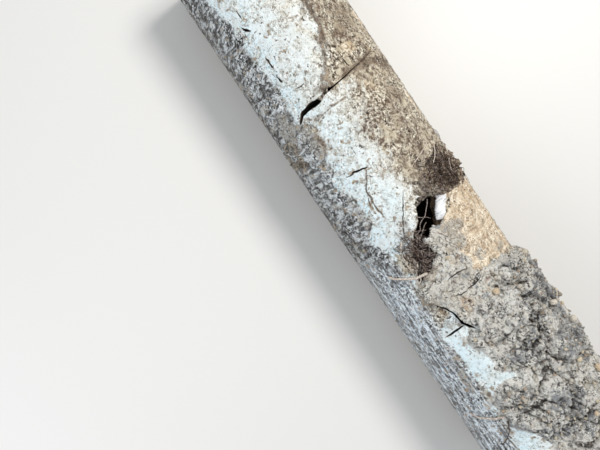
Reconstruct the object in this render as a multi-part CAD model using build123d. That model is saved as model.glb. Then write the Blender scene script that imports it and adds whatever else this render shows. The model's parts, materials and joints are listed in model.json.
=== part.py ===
"""A plain-ended fired-clay drain pipe, dug up cracked and holed.

The pipe lies along X with the floor at Z = 0 and the middle of its length at X = 0.
Damage is laid out on the unrolled barrel: x runs along the pipe, and the angle runs
round it from the crown, positive towards +Y. All lengths are in millimetres.
"""

import math
import os

from build123d import *

# The pipe as it left the kiln
LENGTH = 610.0
BORE_DIAMETER = 102.0
WALL = 14.0
OUTER_ARRIS_RADIUS = 2.0
INNER_ARRIS_RADIUS = 1.5

# The crack across the crown: where it crosses it, and how much it closes by at the bore
CROSS_CRACK_X = -100.0
CROSS_CRACK_BORE_SHARE = 0.45
# Each station: angle from the crown, drift along the pipe, gap at the outside
CROSS_CRACK_PATH = [
    (-41.0, 8.5, 0.0),
    (-38.0, 5.5, 1.9),
    (-34.0, 4.6, 2.4),
    (-29.0, 3.0, 3.4),
    (-23.5, 3.4, 4.3),
    (-17.5, 2.4, 4.4),
    (-12.0, 2.6, 2.2),
    (-8.5, 0.6, 3.4),
    (-4.0, 0.4, 3.0),
    (-1.0, -0.8, 1.2),
    (8.0, -1.4, 1.0),
    (19.0, -5.0, 0.9),
    (30.0, -7.4, 0.8),
    (46.0, -12.5, 0.0),
]

# The forked crack beside the hole: its place, and its two branches
FORK_CRACK_X = 128.0
FORK_CRACK_BORE_SHARE = 0.35
FORK_MAIN_PATH = [
    (-33.0, -30.0, 0.0),
    (-29.5, -24.0, 1.5),
    (-26.0, -20.5, 2.3),
    (-22.5, -12.0, 2.4),
    (-22.0, -4.5, 2.8),
    (-17.5, 2.0, 2.4),
    (-14.5, 5.5, 0.0),
]
FORK_BRANCH_PATH = [
    (-21.0, -1.5, 1.2),
    (-26.5, -0.5, 2.0),
    (-33.0, 1.2, 1.6),
    (-40.0, 2.4, 0.0),
]

# The hole broken through the crown, as pairs of points on its two sides
HOLE_X = 48.0
HOLE_BORE_SHARE = 0.94
# Each pair: x and angle on the low side, then x and angle on the high side
HOLE_SIDES = [
    ((-35.0, 14.0), (-35.0, 14.0)),
    ((-33.5, 6.5), (-31.0, 21.0)),
    ((-29.0, 0.5), (-24.0, 25.5)),
    ((-22.5, -4.0), (-17.0, 19.5)),
    ((-14.5, -7.0), (-9.5, 16.0)),
    ((-8.0, -14.5), (-4.0, 7.5)),
    ((-1.0, -19.5), (2.0, -2.0)),
    ((8.0, -24.0), (9.5, -8.5)),
    ((16.5, -25.5), (17.0, -5.5)),
    ((24.0, -30.5), (22.5, -10.5)),
    ((32.0, -32.0), (29.0, -18.0)),
    ((38.0, -35.5), (38.0, -35.5)),
]

# How far a cutting tool runs on past each face of the wall
CUT_OVERRUN = 6.0

BORE_RADIUS = BORE_DIAMETER / 2
OUTER_RADIUS = BORE_RADIUS + WALL
AXIS_HEIGHT = OUTER_RADIUS


def on_barrel(x, angle, radius):
    """The point at x along the pipe, at an angle from the crown and a radius from the axis."""
    turn = math.radians(angle)
    return Vector(x, radius * math.sin(turn), AXIS_HEIGHT + radius * math.cos(turn))


def barrel():
    """The pipe wall: a section with rounded arrises, turned about the bore's axis."""
    with BuildPart() as turned:
        with BuildSketch(Plane.XZ) as section:
            with Locations((0, AXIS_HEIGHT + BORE_RADIUS + WALL / 2)):
                Rectangle(LENGTH, WALL)
            # The sketch's own Y is the height above the floor
            fillet(section.vertices().group_by(Axis.Y)[0], INNER_ARRIS_RADIUS)
            fillet(section.vertices().group_by(Axis.Y)[-1], OUTER_ARRIS_RADIUS)
        revolve(axis=Axis((0, 0, AXIS_HEIGHT), (1, 0, 0)))
    return turned.part


def triangle(a, b, c):
    return Face(Wire.make_polygon([a, b, c], close=True))


def through_wall(sides, bore_share):
    """A tool that breaks through the wall between two rows of (x, angle) points.

    The rows meet at both ends. Each pair closes in on its own middle from the outside
    of the wall to the bore, where bore_share of its width is left.
    """
    past = CUT_OVERRUN / WALL

    def ring_point(pair, which, depth):
        mid_x = (pair[0][0] + pair[1][0]) / 2
        mid_angle = (pair[0][1] + pair[1][1]) / 2
        width = 1 + (bore_share - 1) * depth
        x = mid_x + (pair[which][0] - mid_x) * width
        angle = mid_angle + (pair[which][1] - mid_angle) * width
        return on_barrel(x, angle, OUTER_RADIUS - WALL * depth)

    outer = [[ring_point(pair, which, -past) for which in (0, 1)] for pair in sides]
    inner = [[ring_point(pair, which, 1 + past) for which in (0, 1)] for pair in sides]

    faces = []
    last = len(sides) - 1
    for here in range(last):
        there = here + 1
        for ring in (outer, inner):
            if here > 0:
                faces.append(triangle(ring[here][0], ring[here][1], ring[there][0]))
            if there < last:
                faces.append(triangle(ring[there][0], ring[there][1], ring[here][1]))
        for which in (0, 1):
            faces.append(triangle(outer[here][which], outer[there][which], inner[there][which]))
            faces.append(triangle(outer[here][which], inner[there][which], inner[here][which]))
    return Solid(Shell(faces))


def crack(x_place, path, bore_share):
    """A tool for a crack that follows (angle, drift, gap) stations round the barrel."""
    flat = [(x_place + drift, math.radians(angle) * OUTER_RADIUS) for angle, drift, _ in path]
    sides = []
    for i, (x, arc) in enumerate(flat):
        before = flat[max(i - 1, 0)]
        after = flat[min(i + 1, len(flat) - 1)]
        along_x, along_arc = after[0] - before[0], after[1] - before[1]
        half = path[i][2] / 2 / math.hypot(along_x, along_arc)
        sides.append(
            tuple(
                (
                    x + side * half * along_arc,
                    math.degrees((arc - side * half * along_x) / OUTER_RADIUS),
                )
                for side in (-1, 1)
            )
        )
    return through_wall(sides, bore_share)


def hole():
    sides = [tuple((HOLE_X + x, angle) for x, angle in pair) for pair in HOLE_SIDES]
    return through_wall(sides, HOLE_BORE_SHARE)


def pipe():
    whole = barrel()
    whole -= crack(CROSS_CRACK_X, CROSS_CRACK_PATH, CROSS_CRACK_BORE_SHARE)
    whole -= crack(FORK_CRACK_X, FORK_MAIN_PATH, FORK_CRACK_BORE_SHARE)
    whole -= crack(FORK_CRACK_X, FORK_BRANCH_PATH, FORK_CRACK_BORE_SHARE)
    whole -= hole()
    return whole


os.makedirs("parts", exist_ok=True)
export_step(pipe(), "parts/pipe.step")
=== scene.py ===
"""The drain pipe's looks: weathered clay with its damage, and the soil and roots that cling to it.

Damage and dirt are laid out on the unrolled barrel: x runs along the pipe in millimetres, and
the angle runs round it from the crown in degrees, positive towards +Y. Meshes are in metres.
"""

import json
import math

import bmesh
import bpy
import numpy as np
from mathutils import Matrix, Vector


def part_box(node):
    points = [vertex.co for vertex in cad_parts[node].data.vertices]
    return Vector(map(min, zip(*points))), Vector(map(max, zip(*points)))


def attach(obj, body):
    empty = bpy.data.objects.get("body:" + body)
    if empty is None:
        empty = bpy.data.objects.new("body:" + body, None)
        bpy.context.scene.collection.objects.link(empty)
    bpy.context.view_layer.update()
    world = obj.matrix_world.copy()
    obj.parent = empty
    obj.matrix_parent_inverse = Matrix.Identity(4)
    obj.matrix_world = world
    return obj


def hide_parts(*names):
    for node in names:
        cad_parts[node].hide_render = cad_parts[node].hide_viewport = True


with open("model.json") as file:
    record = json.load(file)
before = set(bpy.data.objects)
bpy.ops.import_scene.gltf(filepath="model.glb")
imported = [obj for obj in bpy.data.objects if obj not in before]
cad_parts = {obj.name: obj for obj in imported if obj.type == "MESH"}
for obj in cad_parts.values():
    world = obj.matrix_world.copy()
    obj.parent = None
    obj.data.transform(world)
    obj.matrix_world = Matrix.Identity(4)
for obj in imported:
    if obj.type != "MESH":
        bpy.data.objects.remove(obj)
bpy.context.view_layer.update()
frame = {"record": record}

MM = 0.001

# The frame's own sizes, in millimetres
mounts = {mount["name"]: mount for mount in frame["record"]["mounts"]}
pipe_low, pipe_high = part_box("pipe")
BORE_R = mounts["bore"]["dims"]["r_mm"]
OUTER_R = mounts["barrel"]["dims"]["r_mm"]
WALL = OUTER_R - BORE_R
HALF_LENGTH = (pipe_high.x - pipe_low.x) / 2 / MM
AXIS_Z = OUTER_R
OUTER_ARRIS = HALF_LENGTH - mounts["barrel"]["dims"]["length_mm"] / 2
INNER_ARRIS = HALF_LENGTH - mounts["bore"]["dims"]["length_mm"] / 2

# The hole broken through the crown: x and angle on the low side, then on the high side
HOLE = [
    ((13.0, 14.0), (13.0, 14.0)),
    ((14.5, 6.5), (17.0, 21.0)),
    ((19.0, 0.5), (24.0, 25.5)),
    ((25.5, -4.0), (31.0, 19.5)),
    ((33.5, -7.0), (38.5, 16.0)),
    ((40.0, -14.5), (44.0, 7.5)),
    ((47.0, -19.5), (50.0, -2.0)),
    ((56.0, -24.0), (57.5, -8.5)),
    ((64.5, -25.5), (65.0, -5.5)),
    ((72.0, -30.5), (70.5, -10.5)),
    ((80.0, -32.0), (77.0, -18.0)),
    ((86.0, -35.5), (86.0, -35.5)),
]
HOLE_BORE_SHARE = 0.94

# Cracks through the wall. Each station: x, angle, gap
CROSS_CRACK = [
    (-91.8, -41.0, 0.0),
    (-92.8, -39.3, 2.2),
    (-94.6, -36.8, 2.9),
    (-96.3, -34.2, 3.6),
    (-97.3, -29.5, 4.6),
    (-97.8, -25.0, 5.1),
    (-98.1, -20.5, 5.2),
    (-98.4, -16.0, 4.2),
    (-98.9, -13.2, 2.6),
    (-100.2, -10.2, 3.6),
    (-100.4, -7.5, 3.3),
    (-100.3, -5.2, 2.2),
    (-100.4, -3.0, 1.6),
    (-100.8, 0.0, 1.3),
    (-102.0, 9.0, 1.0),
    (-104.6, 20.0, 0.6),
    (-107.4, 32.0, 0.5),
    (-112.5, 46.0, 0.0),
]
FORK_CRACK = [
    (98.0, -33.0, 0.0),
    (103.0, -29.5, 1.0),
    (107.5, -25.5, 1.4),
    (113.0, -22.5, 1.3),
    (118.0, -22.0, 2.2),
    (124.0, -21.0, 3.1),
    (130.0, -17.5, 2.7),
    (134.5, -14.0, 0.0),
]
FORK_BRANCH = [
    (126.5, -21.0, 1.2),
    (127.5, -26.5, 2.0),
    (129.2, -33.0, 1.6),
    (130.4, -40.0, 0.0),
]
CRACK_BORE_SHARE = 0.4


# Noise, all of it fixed by its seed


# Large odd multipliers that scramble a cell's place, and the largest 32-bit number
SCRAMBLE_PLACE = [np.uint32(n) for n in (374761393, 668265263, 2246822519)]
SCRAMBLE_SEED = 3266489917
SCRAMBLE_SUM = np.uint32(1274126177)
WORD = 0xFFFFFFFF
# How far apart the octaves of a cloud lie, in cells and in seeds, and what brings its reach to about 1
OCTAVE_SHIFT = 17.3
OCTAVE_SEED = 31
CLOUD_GAIN = 1.7
# Farther off than any centre next to a cell, in cells
FAR_OFF = 9.0


def lattice(cells, seed):
    """A fixed number from 0 to 1 for each whole-number cell."""
    mixed = sum((cells[:, k] & WORD).astype(np.uint32) * SCRAMBLE_PLACE[k] for k in range(3))
    mixed += np.uint32(seed * SCRAMBLE_SEED & WORD)
    mixed = (mixed ^ (mixed >> np.uint32(13))) * SCRAMBLE_SUM
    mixed ^= mixed >> np.uint32(16)
    return mixed / float(WORD)


def noise(points, seed):
    """Smooth noise from -1 to 1, with one cell to a unit."""
    base = np.floor(points).astype(np.int64)
    part = points - base
    part = part * part * (3 - 2 * part)
    total = np.zeros(len(points))
    for corner in np.ndindex(2, 2, 2):
        weight = np.prod(np.where(corner, part, 1 - part), axis=1)
        total += weight * lattice(base + corner, seed)
    return total * 2 - 1


def cloud(points, size, seed, octaves=3, stretch=1.0):
    """Fractal noise from about -1 to 1. Its largest features are size mm, stretched along the pipe."""
    cells = points / (size * np.array([stretch, 1.0, 1.0]))
    total, weight, reach = np.zeros(len(points)), 1.0, 0.0
    for octave in range(octaves):
        total += weight * noise(cells * 2**octave + OCTAVE_SHIFT * octave, seed + OCTAVE_SEED * octave)
        reach += weight
        weight /= 2
    return CLOUD_GAIN * total / reach


def clouds(points, size, seeds, octaves=3):
    """A cloud for each seed, side by side."""
    return np.stack([cloud(points, size, seed, octaves) for seed in seeds], axis=1)


def clods(points, size, seed):
    """Cells about size mm across: distance to the own and to the next centre, and the cell's number."""
    cells = points / size
    base = np.floor(cells).astype(np.int64)
    best, second = np.full(len(cells), FAR_OFF), np.full(len(cells), FAR_OFF)
    own = np.zeros(len(cells))
    for shift in np.ndindex(3, 3, 3):
        cell = base + shift - 1
        centre = cell + np.stack([lattice(cell, seed + k) for k in (1, 2, 3)], axis=1)
        away = np.linalg.norm(cells - centre, axis=1)
        second = np.minimum(second, np.maximum(best, away))
        own = np.where(away < best, lattice(cell, seed), own)
        best = np.minimum(best, away)
    return best, second, own


def ease(value, low, high):
    """0 below low, 1 above high and smooth between. Low may be above high."""
    part = np.clip((value - low) / (high - low), 0, 1)
    return part * part * (3 - 2 * part)


# The unrolled barrel


def arc_of(angle):
    return np.radians(angle) * OUTER_R


def angle_of(arc):
    return np.degrees(arc / OUTER_R)


def on_barrel(x, angle, radius):
    """Points in mm, at x along the pipe, an angle from the crown and a radius from the axis."""
    turn = np.radians(angle)
    x, turn, radius = np.broadcast_arrays(x, turn, radius)
    return np.stack([x, radius * np.sin(turn), AXIS_Z + radius * np.cos(turn)], axis=-1)


def rolled(flat, radius):
    """Points in mm from rows of (x, arc), at a radius from the axis."""
    return on_barrel(flat[:, 0], angle_of(flat[:, 1]), radius)


def off_barrel(points):
    """x, angle and radius of points in mm."""
    y, z = points[:, 1], points[:, 2] - AXIS_Z
    return points[:, 0], np.degrees(np.arctan2(y, z)), np.hypot(y, z)


def nearest(path, x, angle, closed=False):
    """Distance in mm on the unrolled barrel to a path of (x, angle) points."""
    corners = [(px, arc_of(pa)) for px, pa in path]
    if closed:
        corners.append(corners[0])
    arc = arc_of(angle)
    best = np.full(len(x), 1e9)
    for (ax, ay), (bx, by) in zip(corners[:-1], corners[1:]):
        length2 = max((bx - ax) ** 2 + (by - ay) ** 2, 1e-9)
        part = np.clip(((x - ax) * (bx - ax) + (arc - ay) * (by - ay)) / length2, 0, 1)
        best = np.minimum(best, np.hypot(x - ax - part * (bx - ax), arc - ay - part * (by - ay)))
    return best


def depth_in(outline, x, angle):
    """How far inside a closed outline of (x, angle) points, in mm, and less than 0 outside it."""
    arc = arc_of(angle)
    inside = np.zeros(len(x), bool)
    corners = [(px, arc_of(pa)) for px, pa in outline]
    for (ax, ay), (bx, by) in zip(corners, corners[1:] + corners[:1]):
        crosses = (ay > arc) != (by > arc)
        slope = (bx - ax) / (by - ay) if by != ay else 0.0
        inside ^= crosses & (x < ax + (arc - ay) * slope)
    away = nearest(outline, x, angle, closed=True)
    return np.where(inside, away, -away)


def level(stations, x):
    """The angle at x of a line of (x, angle) stations."""
    return np.interp(x, [s[0] for s in stations], [s[1] for s in stations])


hole_outline = [low for low, _ in HOLE] + [high for _, high in HOLE[-2:0:-1]]
cross_line, fork_line, branch_line = (
    [(x, angle) for x, angle, _ in crack] for crack in (CROSS_CRACK, FORK_CRACK, FORK_BRANCH)
)


# What is painted on the barrel, as the photograph shows it

# The white lime bloom lies between these two lines
LIME_LOW = [
    (-305, -52), (-226, -48), (-215, -45), (-180, -43), (-150, -41.5), (-123, -39), (-95, -42),
    (-83, -31), (-71, -31.5), (-61, -31.5), (-53, -38), (-43, -39), (-36, -45), (-28, -45),
    (-20, -40), (0, -36.5), (10, -35), (17, -39), (24, -48), (30, -48), (36, -45), (43, -39),
    (71, -38), (79, -37), (92, -36), (100, -30), (108, -25), (115, -29), (118, -36),
    (127, -38.5), (133, -42), (151, -38), (166, -39.5), (181, -36), (192, -33), (205, -38),
    (211, -43), (250, -42), (305, -46),
]
LIME_HIGH = [
    (-305, 17), (-190, 16), (-166, 12.6), (-147, 12), (-135, 6), (-123, 3.8), (-117, -1.3),
    (-112, -6), (-106, -13), (-101, -6), (-98, 3), (-90, 6), (-72, 4), (-57, 0), (-43, -1),
    (-29, 1.5), (-20, -3), (-12, -1), (0, 3), (14, 4), (20, 2), (26, -1), (33, -4), (37, -14),
    (46, -22), (56, -23), (66, -27), (76, -31), (82, -36), (98, -36), (103, -29), (112, -20),
    (130, -10), (150, -8), (180, -2), (190, -8), (200, -28), (212, -30), (225, -20), (235, -10),
    (305, -6),
]
# Each dab: x, angle, reach along and reach round the pipe in mm, strength
UMBER = [
    (-156, 45, 5, 5, 1.0), (-152, 20, 10, 3, 0.6), (-146, 36, 17, 16, 0.45), (-138, 27, 9, 7, 0.45),
    (-103, 33, 5, 19, 0.75), (-98, 52, 7, 9, 0.8), (-113, 44, 2, 6, 0.4), (-104, 16, 5, 10, 0.35),
    (-105, -10, 6, 10, 0.6), (-125, -20, 4, 6, 0.4), (-123, -15, 2, 2, 0.7), (-110, -2, 5, 6, 0.35),
    (-135, 6, 4, 2, 0.7), (-87, -26, 3, 4, 0.7), (-88, -33, 5, 6, 0.5), (-70, 40, 14, 10, 0.3),
    (-16, -5, 5, 9, 0.3), (-22, -28, 2.6, 2.6, 0.9), (-38, -34, 3, 2, 0.6), (-28, -13, 9, 2, 0.35),
    (30, -17, 13, 5, 0.75), (22, -19, 8, 4, 0.5), (8, 16, 13, 8, 0.6), (8, 36, 16, 22, 0.8),
    (20, 34, 8, 20, 0.9), (-14, 26, 12, 12, 0.25), (54, 35, 5, 7, 0.5), (95, 27, 4, 6, 0.8),
    (74, 16, 3, 7, 0.6), (95, -35, 14, 4, 0.4), (107, -28, 5, 5, 0.6), (217, -34, 5, 4, 0.9),
    (150, -29, 5, 3, 0.3), (58, -27, 18, 2, 0.4), (112, -26.5, 5, 3, 0.6), (122, -24, 7, 2, 0.5),
    (-62, -61, 7, 6, 0.8), (-40, 24, 20, 8, 0.25),
]
OCHRE = [
    (-112.5, 45, 4, 4, 1.0), (-120, 28, 14, 18, 0.45), (-80, 22, 16, 12, 0.4), (-92, 38, 10, 12, 0.35),
    (-112, 2, 8, 6, 0.4), (40, 30, 20, 18, 0.35),
]
# Bare pale clay; the first two dabs, on the far silhouette, are painted highlights
PALE_AND_HIGHLIGHTS = [
    (-146, 60, 9, 9, 0.9), (-60, 56, 14, 4, 0.9), (-120, 24, 10, 9, 0.5), (-84, 20, 10, 8, 0.45),
    (88, 30, 10, 14, 0.6),
]
# Painted highlights along the far side's silhouette: bare clay painted near-white there
BARED_HIGHLIGHTS = [(-172, 57, 12, 4, 1.0), (-150, 60, 8, 3, 0.8), (-64, 58, 16, 3, 0.9), (-40, 60, 8, 3, 0.6)]
# A smooth film of grey soil
FILM = [
    (52, 16, 8, 7, 0.7), (66, 14, 7, 8, 0.7), (84, 20, 7, 9, 0.6), (90, 44, 7, 12, 0.6),
    (-157, 14, 12, 4, 0.9), (60, 8, 12, 9, 0.9), (-98, -53, 24, 13, 0.8), (48, 1, 7, 5, 0.6),
    (-75, -42, 20, 8, 0.7), (95, -33, 16, 6, 0.6), (119, -30, 9, 8, 0.5), (120, -44, 30, 5, 0.4),
    (170, -45, 35, 4, 0.5),
]
# The outline of the cream clay beside the hole
CREAM = [
    (25, 22), (23, 40), (22, 66), (60, 74), (96, 62), (100, 44), (98, 22), (92, 7), (80, 5),
    (66, -3), (57, -7), (49, 2), (44, 10), (38, 19), (30, 24),
]
# Lime with hardly a speck on it
CLEAR = [
    (146, -33, 15, 7, 1.0), (166, -28, 15, 10, 1.0), (182, -16, 8, 9, 0.9), (240, -32, 15, 10, 0.7),
    (4, -14, 16, 8, 0.6), (-60, -16, 16, 9, 0.4),
]
# The edge of the spalled lip beside the cross crack, and the outline of the lip
LIP_LINE = [(-88, 0), (-87.6, -12), (-86.6, -20), (-86, -26), (-89, -30), (-92, -35)]
LIP = [(-97, 1), (-97, -38), (-92, -36), (-89, -30), (-86, -24), (-88, 0)]
# Dark lines in the skin: path, width in mm, strength
STAIN_LINES = [
    ([(-205, 17), (-190, 15.5), (-178, 15), (-166, 14.5), (-149, 14), (-135, 7)], 3.4, 1.0),
    ([(-135, 7), (-123, 3.8), (-117, -1.3), (-110, -7)], 2.4, 0.85),
    (LIP_LINE, 1.4, 0.75),
    ([(-102, 6), (-105, 20), (-107, 30), (-112, 44)], 2.6, 0.9),
    ([(-186, -8.8), (-176, -9.2), (-160, -10.8)], 1.3, 0.5),
    ([(-27, -16.5), (-20, -21.5), (-14, -25.5), (-7, -25.8), (6, -26.4), (15, -25.2)], 1.3, 0.7),
    ([(223, -43), (234, -42), (246, -40)], 1.6, 0.7),
]
# Thin cracks in the skin: path, width in mm, depth in mm
HAIRLINES = [
    ([(-202, -31.5), (-197, -31.8), (-192, -31.9)], 0.6, 0.8),
    ([(-188.5, -35.5), (-184, -33.6), (-179, -31.2)], 1.5, 2.2),
    ([(-157, -32.3), (-150, -33), (-142, -32.4)], 0.9, 1.2),
    ([(-138, -33.2), (-133, -33.6), (-129, -33.2)], 1.5, 2.2),
    ([(-123.5, 14.0), (-117, 14.8), (-111, 14.5), (-106.5, 15.2)], 1.0, 1.6),
    ([(-28.4, -14.8), (-30, -19), (-31.5, -25), (-31, -29), (-32, -33)], 1.5, 2.4),
    ([(-27, -16.5), (-20, -21.5), (-14, -25.5), (-7, -25.8), (6, -26.4), (15, -25.2)], 0.7, 1.0),
    ([(-8, -26.8), (-3, -28.5), (1, -29.8)], 0.7, 1.0),
    ([(3, -2.5), (11, -7), (21, -12.7), (30, -18.5)], 0.8, 1.2),
    ([(-116.8, -19), (-116.2, -23), (-116.8, -26.5)], 0.8, 1.0),
    ([(114.9, -24), (115.6, -26), (114.8, -28.5)], 0.8, 1.2),
]


def warped(x, angle, points, reach, size, seed):
    """The place moved about by noise, so that what is painted there has a wandering edge."""
    moved = reach * clouds(points, size, (seed, seed + 7))
    return x + moved[:, 0], angle + angle_of(moved[:, 1])


def dabbed(dabs, x, angle):
    total = np.zeros(len(x))
    for at_x, at_angle, along, around, strength in dabs:
        away = np.hypot((x - at_x) / along, arc_of(angle - at_angle) / around)
        total = np.maximum(total, strength * ease(away, 1.3, 0.35))
    return total


def rim_distance(x, angle):
    """Distance in mm to the nearest edge of the hole or of a crack through the wall."""
    paths = (cross_line, fork_line, branch_line)
    cracks = np.minimum.reduce([nearest(path, x, angle) for path in paths])
    return np.minimum(cracks, np.abs(depth_in(hole_outline, x, angle)))


def fields(x, angle, radius):
    """What is painted at each place of the wall."""
    points = on_barrel(x, angle, OUTER_R)
    wide_x, wide_angle = warped(x, angle, points, 3.0, 14, 40)
    near_x, near_angle = warped(x, angle, points, 1.6, 6, 50)
    # The bloom ends crisply on its low side and peters out on its high side
    flaked = 9 * ease(cloud(points, 20, 62), 0.52, 0.75)
    low_side = arc_of(wide_angle - level(LIME_LOW, wide_x)) - flaked
    high_side = arc_of(level(LIME_HIGH, wide_x) - wide_angle) - flaked
    high_side *= 1 + 1.5 * ease(np.abs(x - 62), 100, 75) + 0.7 * ease(x, -105, -125)
    umber = dabbed(UMBER, near_x, near_angle)
    for path, width, strength in STAIN_LINES:
        away = nearest(path, *warped(x, angle, points, 0.9, 5, 55))
        umber = np.maximum(umber, strength * ease(away, width, width * 0.3))
    rim = rim_distance(x, angle)
    chipped = 0.9 + 1.4 * ease(cloud(points, 9, 66), -0.2, 0.9)
    cream = ease(depth_in(CREAM, wide_x, wide_angle), -1.5, 2.5)
    cracked = nearest(cross_line, x, angle)
    bared = ease(angle, 4, -4) * (x > level([(-41, -91.5), (0, -100.5)], angle))
    broken = ease(rim, chipped, chipped * 0.4) * np.where(cracked < 12, bared, 0.5)
    facet = ease(angle, 0, 5) * ease(x, 18, 22) * ease(x, 43, 40)
    under = np.abs(angle) + 17 * cloud(points, 60, 80) + 9 * cloud(points, 14, 84)
    return {
        "low_side": np.clip(low_side, -25, 25),
        "high_side": np.clip(high_side, -40, 40),
        "umber": umber,
        "ochre": dabbed(OCHRE, wide_x, wide_angle),
        "film": dabbed(FILM, wide_x, wide_angle),
        # The pale dabs include painted highlights on the far silhouette, laid on as cream
        "cream": np.maximum(cream, dabbed(PALE_AND_HIGHLIGHTS, near_x, near_angle)),
        "clear": dabbed(CLEAR, wide_x, wide_angle),
        "flank": ease(angle, -30, -44),
        "streak": ease(x, 10, 80) * ease(angle, -30, -45),
        "angle": angle,
        # Fresh broken rims, and painted highlights along the far silhouette
        "fresh": np.maximum(broken, dabbed(BARED_HIGHLIGHTS, x, angle)),
        "rim": rim,
        "clean": facet * ease(radius, BORE_R + 2, BORE_R + 11),
        "under": ease(under, 84, 136),
        "end": ease(np.abs(x), HALF_LENGTH - 1.6, HALF_LENGTH - 0.5),
        # Crack walls deep below the skin, for their painted shade
        "deep": ease(radius, OUTER_R - 0.6, OUTER_R - 3.0) * (depth_in(hole_outline, x, angle) < -4),
        "bore": ease(radius, BORE_R + 2.5, BORE_R + 1.2),
    }


# Meshes


def mesh_object(name, points, faces, materials=()):
    """A mesh object from points in mm."""
    mesh = bpy.data.meshes.new(name)
    mesh.from_pydata((np.asarray(points) * MM).tolist(), [], faces)
    mesh.update()
    piece = bpy.data.objects.new(name, mesh)
    bpy.context.scene.collection.objects.link(piece)
    for material in materials:
        mesh.materials.append(material)
    return piece


def points_of(piece):
    flat = np.zeros(len(piece.data.vertices) * 3, np.float32)
    piece.data.vertices.foreach_get("co", flat)
    return flat.reshape(-1, 3).astype(float) / MM


def paint_fields(piece, painted):
    """Puts named values on the points of a mesh, one value to a point."""
    for name, values in painted.items():
        field = piece.data.attributes.new(name, "FLOAT", "POINT")
        field.data.foreach_set("value", np.asarray(values, np.float32))


def outward(piece):
    """Turns the faces of a closed mesh outwards."""
    work = bmesh.new()
    work.from_mesh(piece.data)
    bmesh.ops.recalc_face_normals(work, faces=work.faces)
    work.to_mesh(piece.data)
    work.free()
    return piece


# From how many degrees up an edge is sharp: on clay, on soil, and not at all
CLAY_SHARP = 38.0
SOIL_SHARP = 60.0
ALL_SMOOTH = 180.0


def smooth(piece, sharp):
    piece.data.polygons.foreach_set("use_smooth", [True] * len(piece.data.polygons))
    if sharp < ALL_SMOOTH:
        piece.data.set_sharp_from_angle(angle=math.radians(sharp))


def cut(piece, cutter, material):
    """Takes the cutter's shape out of the piece and gives the new faces their own material."""
    cutter.data.materials.append(material)
    change = piece.modifiers.new("cut", "BOOLEAN")
    change.operation = "DIFFERENCE"
    change.solver = "MANIFOLD"
    change.material_mode = "TRANSFER"
    change.object = cutter
    graph = bpy.context.evaluated_depsgraph_get()
    mesh = bpy.data.meshes.new_from_object(piece.evaluated_get(graph))
    piece.modifiers.clear()
    piece.data = mesh
    bpy.data.objects.remove(cutter)


def joined(pieces, name):
    """One mesh from several that don't meet."""
    points, faces, start = [], [], 0
    for piece in pieces:
        points.append(points_of(piece))
        faces += [[start + v for v in p.vertices] for p in piece.data.polygons]
        start += len(points[-1])
        bpy.data.objects.remove(piece)
    return outward(mesh_object(name, np.concatenate(points), faces))


# The clay wall

FINE_X = (-120.0, 165.0)
FINE_ANGLES = (-78.0, 74.0)
FINE_STEP = 1.5
COARSE_STEP = 3.1
BORE_STEP = 6.0


def graded(low, high, fine_low, fine_high, fine, coarse):
    """Positions from low to high, close together between fine_low and fine_high."""
    parts = [(low, fine_low, coarse), (fine_low, fine_high, fine), (fine_high, high, coarse)]
    runs = [np.linspace(a, b, max(2, round((b - a) / step) + 1))[:-1] for a, b, step in parts]
    return np.concatenate(runs + [[high]])


def arris(x, radius, size, degrees):
    """Part of the wall's section: a rounded corner about its centre at x and a radius."""
    ways = [(np.cos(turn), np.sin(turn)) for turn in np.radians(degrees)]
    return [(x + size * way_x, radius + size * way_r, way_x, way_r) for way_x, way_r in ways]


def wall_section():
    """The wall's section, once round: x, radius, and the outward direction along x and the radius."""
    outer_x = HALF_LENGTH - OUTER_ARRIS
    inner_x = HALF_LENGTH - INNER_ARRIS
    along = graded(-outer_x, outer_x, *FINE_X, FINE_STEP, COARSE_STEP)
    section = [(x, OUTER_R, 0.0, 1.0) for x in along]
    section += arris(outer_x, OUTER_R - OUTER_ARRIS, OUTER_ARRIS, [67.5, 45, 22.5])
    end_face = np.linspace(OUTER_R - OUTER_ARRIS, BORE_R + INNER_ARRIS, 7)
    section += [(HALF_LENGTH, radius, 1.0, 0.0) for radius in end_face]
    section += arris(inner_x, BORE_R + INNER_ARRIS, INNER_ARRIS, [-30, -60])
    bore = np.linspace(inner_x, 0, round(inner_x / BORE_STEP) + 1)
    section += [(x, BORE_R, 0.0, -1.0) for x in bore]
    # The other half of the bore and the near end mirror the far one
    far_end = section[len(along) : -1]
    section += [(-x, radius, -way_x, way_r) for x, radius, way_x, way_r in far_end[::-1]]
    return np.array(section)


def wall_mesh():
    section = wall_section()
    angles = graded(-180, 180, *FINE_ANGLES, angle_of(FINE_STEP), angle_of(COARSE_STEP))[:-1]
    rows, turns = len(section), len(angles)
    x, angle = np.repeat(section[:, 0], turns), np.tile(angles, rows)
    radius = np.repeat(section[:, 1], turns)
    way_x, way_r = np.repeat(section[:, 2], turns), np.repeat(section[:, 3], turns)
    raised = wall_relief(x, angle, radius, way_x, way_r)
    points = on_barrel(x + way_x * raised, angle, radius + way_r * raised)
    here = np.arange(rows)[:, None] * turns + np.arange(turns)
    beside = np.arange(rows)[:, None] * turns + (np.arange(turns) + 1) % turns
    faces = np.stack([here, beside, np.roll(beside, -1, axis=0), np.roll(here, -1, axis=0)], axis=-1)
    return outward(mesh_object("pipe_weathered", points, faces.reshape(-1, 4).tolist()))


def pits(points):
    """Scattered pits: 1 at the bottom of one and 0 outside them."""
    away, _, own = clods(points, 6.5, 70)
    return ease(away, 0.42, 0.12) * (own < 0.16) + ease(away, 0.25, 0.08) * (own > 0.8)


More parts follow.
